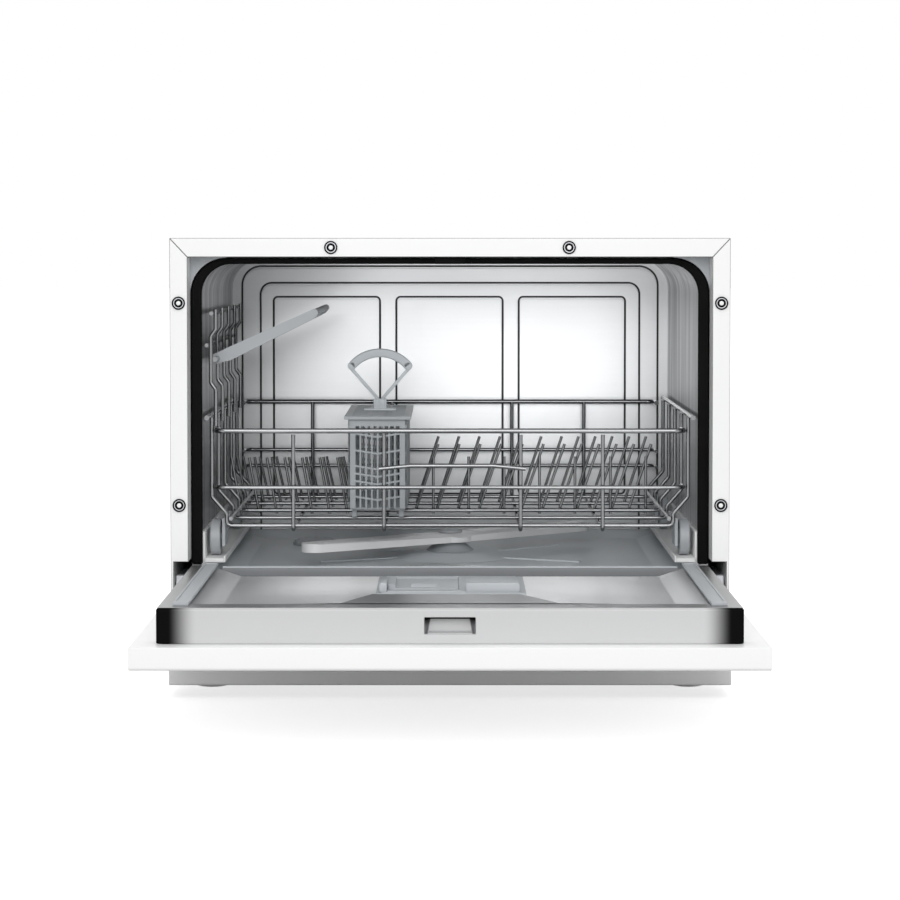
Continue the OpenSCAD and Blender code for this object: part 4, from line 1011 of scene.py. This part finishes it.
class DISHWASHER_OT_latch_mouth(bpy.types.Operator):
    """Lines the latch mouth in the door's edge band with a pocket that tapers in and clears the hook"""
    bl_idname = "dishwasher.latch_mouth"
    bl_label = "Latch mouth"
    width = 43.6 * MM
    height = 14.1 * MM
    deep = 9 * MM
    ramp = 0.3 * MM
    corner = 3 * MM
    # the flat lip round the mouth, the step inside it, the pocket's narrowing and its sheet
    lip = 0.5 * MM
    step = 0.3 * MM
    taper = 0.88
    sheet = 0.6 * MM

    def execute(self, context):
        bpy.ops.mesh.primitive_plane_add(size=1)
        scoop = sized((self.width, self.height, 1), "VERT")
        leave()
        choose(scoop, "FACE", lambda face: True)
        bpy.ops.mesh.inset(thickness=self.lip)
        leave()
        edge = self.height / 2 - 0.1 * MM
        choose(scoop, "VERT", lambda vertex: 0 < vertex.co.y < edge)
        bpy.ops.mesh.bevel(offset=self.corner, segments=4, affect="VERTICES")
        leave()
        choose(scoop, "FACE", lambda face: len(face.vertices) > 8 and abs(face.center.x) < 1 * MM
               and abs(face.center.y) < self.height / 4)
        bpy.ops.mesh.inset(thickness=self.step)
        leave()
        inner = {index for face in scoop.data.polygons if face.select for index in face.vertices}
        choose(scoop, "VERT", lambda vertex: vertex.index in inner)
        bpy.ops.transform.resize(value=(self.taper, 1, 1))
        bpy.ops.transform.translate(value=(0, 0, -self.deep))
        leave()
        choose(scoop, "VERT", lambda vertex: vertex.index in inner and vertex.co.y < 0)
        bpy.ops.transform.translate(value=(0, self.ramp, 0))
        leave()
        place_at(scoop, (0, BAND_LOW.y + 0.1 * MM, MOUTH_Z), (pi / 2, 0, 0))
        thicken(scoop, self.sheet, -1)
        scoop.name = "latch_scoop"
        smooth(scoop, 30)
        finish_piece(scoop, "door", "mouth_lining", SLOTS["door_end_band"])
        return {"FINISHED"}


class DISHWASHER_OT_bumpers(bpy.types.Operator):
    """Turns the six round door bumpers: a rubber ring, a steel washer, and a white plug in the middle"""
    bl_idname = "dishwasher.bumpers"
    bl_label = "Bumpers"
    radius = 6.5 * MM
    # half the distance between the two on the top rail, and the step between the two on each side rail
    top_x = 117 * MM
    step = 199.2 * MM
    # finish, outer and inner radius as shares of the bumper's radius, and share of its length
    rings = (("black_rubber", 1.0, 0.76, 1.0), ("zinc_steel", 0.79, 0.5, 0.55),
             ("black_rubber", 0.52, 0.3, 0.4), ("white_paint", 0.33, 0.0, 0.85))

    def execute(self, context):
        low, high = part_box("frame_bumpers")
        side_x = high.x - self.radius
        low_z = low.z + self.radius
        spots = [(s * self.top_x, high.z - self.radius) for s in (-1, 1)]
        spots += [(s * side_x, z) for s in (-1, 1) for z in (low_z, low_z + self.step)]
        made = [self.bumper(index, x, z, low.y, high.y) for index, (x, z) in enumerate(spots)]
        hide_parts("frame_bumpers")
        return {"FINISHED"}

    def bumper(self, index, x, z, front, back):
        """One bumper about its own axis"""
        parts = []
        for finish, outer, inner, reach in self.rings:
            depth = (back - front) * reach
            bpy.ops.mesh.primitive_cylinder_add(vertices=48, radius=self.radius * outer, depth=depth,
                                                location=(x, back - depth / 2, z), rotation=(pi / 2, 0, 0))
            part = bpy.context.object
            bpy.ops.object.transform_apply(location=True, rotation=True, scale=True)
            if inner > 0:
                # the front cap is inset and sunk
                choose(part, "FACE", lambda face: face.normal.y < -0.9)
                bpy.ops.mesh.inset(thickness=self.radius * (outer - inner), depth=0)
                bpy.ops.transform.translate(value=(0, depth * 0.6, 0))
                leave()
            round_edges(part, min(0.3 * MM, depth * 0.3), 2, 40)
            part.data.materials.append(FINISHES[finish])
            parts.append(part)
        piece = joined(parts, f"bumper_{index + 1}")
        smooth(piece, 40)
        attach(piece, "case")
        return piece


# how far the floor shows white by itself, so that shadows on it stay faint
FLOOR_GLOW = 0.72
# the light above: its side in metres, and its share of the front light's power
HIGH_BOX_SIZE = 1.6
HIGH_BOX_SHARE = 0.5
# the width in pixels that the lens and the eye row are given for, and the width of the sensor in millimetres
PICTURE = 900
SENSOR = 36


class DISHWASHER_OT_studio(bpy.types.Operator):
    """Sets the floor, the light and the camera of the picture"""
    bl_idname = "dishwasher.studio"
    bl_label = "Studio"

    def execute(self, context):
        studio = context.scene.dishwasher_studio
        context.scene.view_settings.view_transform = "Standard"
        self.floor(context.scene.dishwasher_colours.floor)
        self.world(studio.room)
        self.light("soft_box", (0, FRONT_Y - 2.3, 1.2), (0, FRONT_Y, 0.25),
                   studio.soft_box_size, studio.soft_box)
        self.light("high_box", (0, FRONT_Y + 0.1, 2.4), (0, FRONT_Y + 0.1, 0.3),
                   HIGH_BOX_SIZE, studio.soft_box * HIGH_BOX_SHARE)
        self.camera(studio)
        return {"FINISHED"}

    def floor(self, colour):
        bpy.ops.mesh.primitive_plane_add(size=60)
        floor = bpy.context.object
        floor.name = "floor"
        white = Finish("floor", Specular_IOR_Level=0.1)
        speckle = white.noise(3, 2)
        white.drive(Base_Color=white.blend(speckle, tint(colour, 0.995), tint(colour, 1.0)),
                    Roughness=0.8 + speckle * 0.1)
        paths = white.tree.nodes.new("ShaderNodeLightPath")
        shown = largest([Value(white, paths.outputs[name])
                         for name in ("Is Camera Ray", "Is Glossy Ray", "Is Transmission Ray")])
        white.shader.inputs["Emission Strength"].default_value = 1.0
        white.drive(Emission_Color=shown * FLOOR_GLOW)
        floor.data.materials.append(white.material)

    def world(self, strength):
        """Even light from all sides, plain white where the lens sees it, in a mirror or through glass"""
        world = bpy.data.worlds.new("studio")
        bpy.context.scene.world = world
        world.use_nodes = True
        tree = world.node_tree
        tree.nodes.clear()
        paths = tree.nodes.new("ShaderNodeLightPath")
        mix = tree.nodes.new("ShaderNodeMixShader")
        output = tree.nodes.new("ShaderNodeOutputWorld")
        seen = paths.outputs["Is Camera Ray"]
        for ray in ("Is Glossy Ray", "Is Transmission Ray"):
            either = tree.nodes.new("ShaderNodeMath")
            either.operation = "MAXIMUM"
            tree.links.new(seen, either.inputs[0])
            tree.links.new(paths.outputs[ray], either.inputs[1])
            seen = either.outputs[0]
        tree.links.new(seen, mix.inputs[0])
        for slot, power in ((1, strength), (2, 1.0)):
            background = tree.nodes.new("ShaderNodeBackground")
            background.inputs["Color"].default_value = (1, 1, 1, 1)
            background.inputs["Strength"].default_value = power
            tree.links.new(background.outputs[0], mix.inputs[slot])
        tree.links.new(mix.outputs[0], output.inputs["Surface"])

    def light(self, name, place, target, size, power):
        bpy.ops.object.light_add(type="AREA", location=place)
        lamp = bpy.context.object
        lamp.name = name
        lamp.data.size = size
        lamp.data.energy = power
        lamp.rotation_euler = (Vector(target) - Vector(place)).to_track_quat("-Z", "Y").to_euler()

    def camera(self, studio):
        below = (PICTURE / 2 - studio.eye_row) + studio.shift * PICTURE
        pitch = atan(below / studio.focal)
        bpy.ops.object.camera_add(location=(0, FRONT_Y - studio.distance, studio.eye),
                                  rotation=(pi / 2 - pitch, 0, 0))
        camera = bpy.context.object
        camera.data.sensor_width = SENSOR
        camera.data.lens = studio.focal / PICTURE * SENSOR
        camera.data.shift_y = studio.shift
        camera.data.clip_end = 100
        bpy.context.scene.camera = camera


OPERATORS = [DISHWASHER_OT_studio, DISHWASHER_OT_finishes, DISHWASHER_OT_painted_case,
             DISHWASHER_OT_mouldings, DISHWASHER_OT_gasket, DISHWASHER_OT_tub,
             DISHWASHER_OT_tub_floor, DISHWASHER_OT_spray_arm,
             DISHWASHER_OT_door_panel, DISHWASHER_OT_latch_mouth, DISHWASHER_OT_dispenser,
             DISHWASHER_OT_cup_shelf_knobs, DISHWASHER_OT_basket, DISHWASHER_OT_bumpers]


class DISHWASHER_PT_panel(bpy.types.Panel):
    """Lists the steps that dress the dishwasher"""
    bl_idname = "DISHWASHER_PT_panel"
    bl_label = "Dishwasher"
    bl_space_type = "VIEW_3D"
    bl_region_type = "UI"
    bl_category = "Dishwasher"

    def draw(self, context):
        for group in GROUPS:
            box = self.layout.box()
            settings = getattr(context.scene, group)
            for name in settings.bl_rna.properties.keys():
                if name not in ("rna_type", "name"):
                    box.prop(settings, name)
        for operator in OPERATORS:
            self.layout.operator(operator.bl_idname)


GROUPS = {"dishwasher_sizes": DishwasherSizes, "dishwasher_colours": DishwasherColours,
          "dishwasher_studio": DishwasherStudio}
CLASSES = [*GROUPS.values(), *OPERATORS, DISHWASHER_PT_panel]


def register():
    for cls in CLASSES:
        bpy.utils.register_class(cls)
    for name, group in GROUPS.items():
        setattr(bpy.types.Scene, name, bpy.props.PointerProperty(type=group))


def unregister():
    for name in GROUPS:
        delattr(bpy.types.Scene, name)
    for cls in reversed(CLASSES):
        bpy.utils.unregister_class(cls)


def main():
    register()
    for operator in OPERATORS:
        group, name = operator.bl_idname.split(".")
        getattr(getattr(bpy.ops, group), name)()


if __name__ == "__main__":
    main()
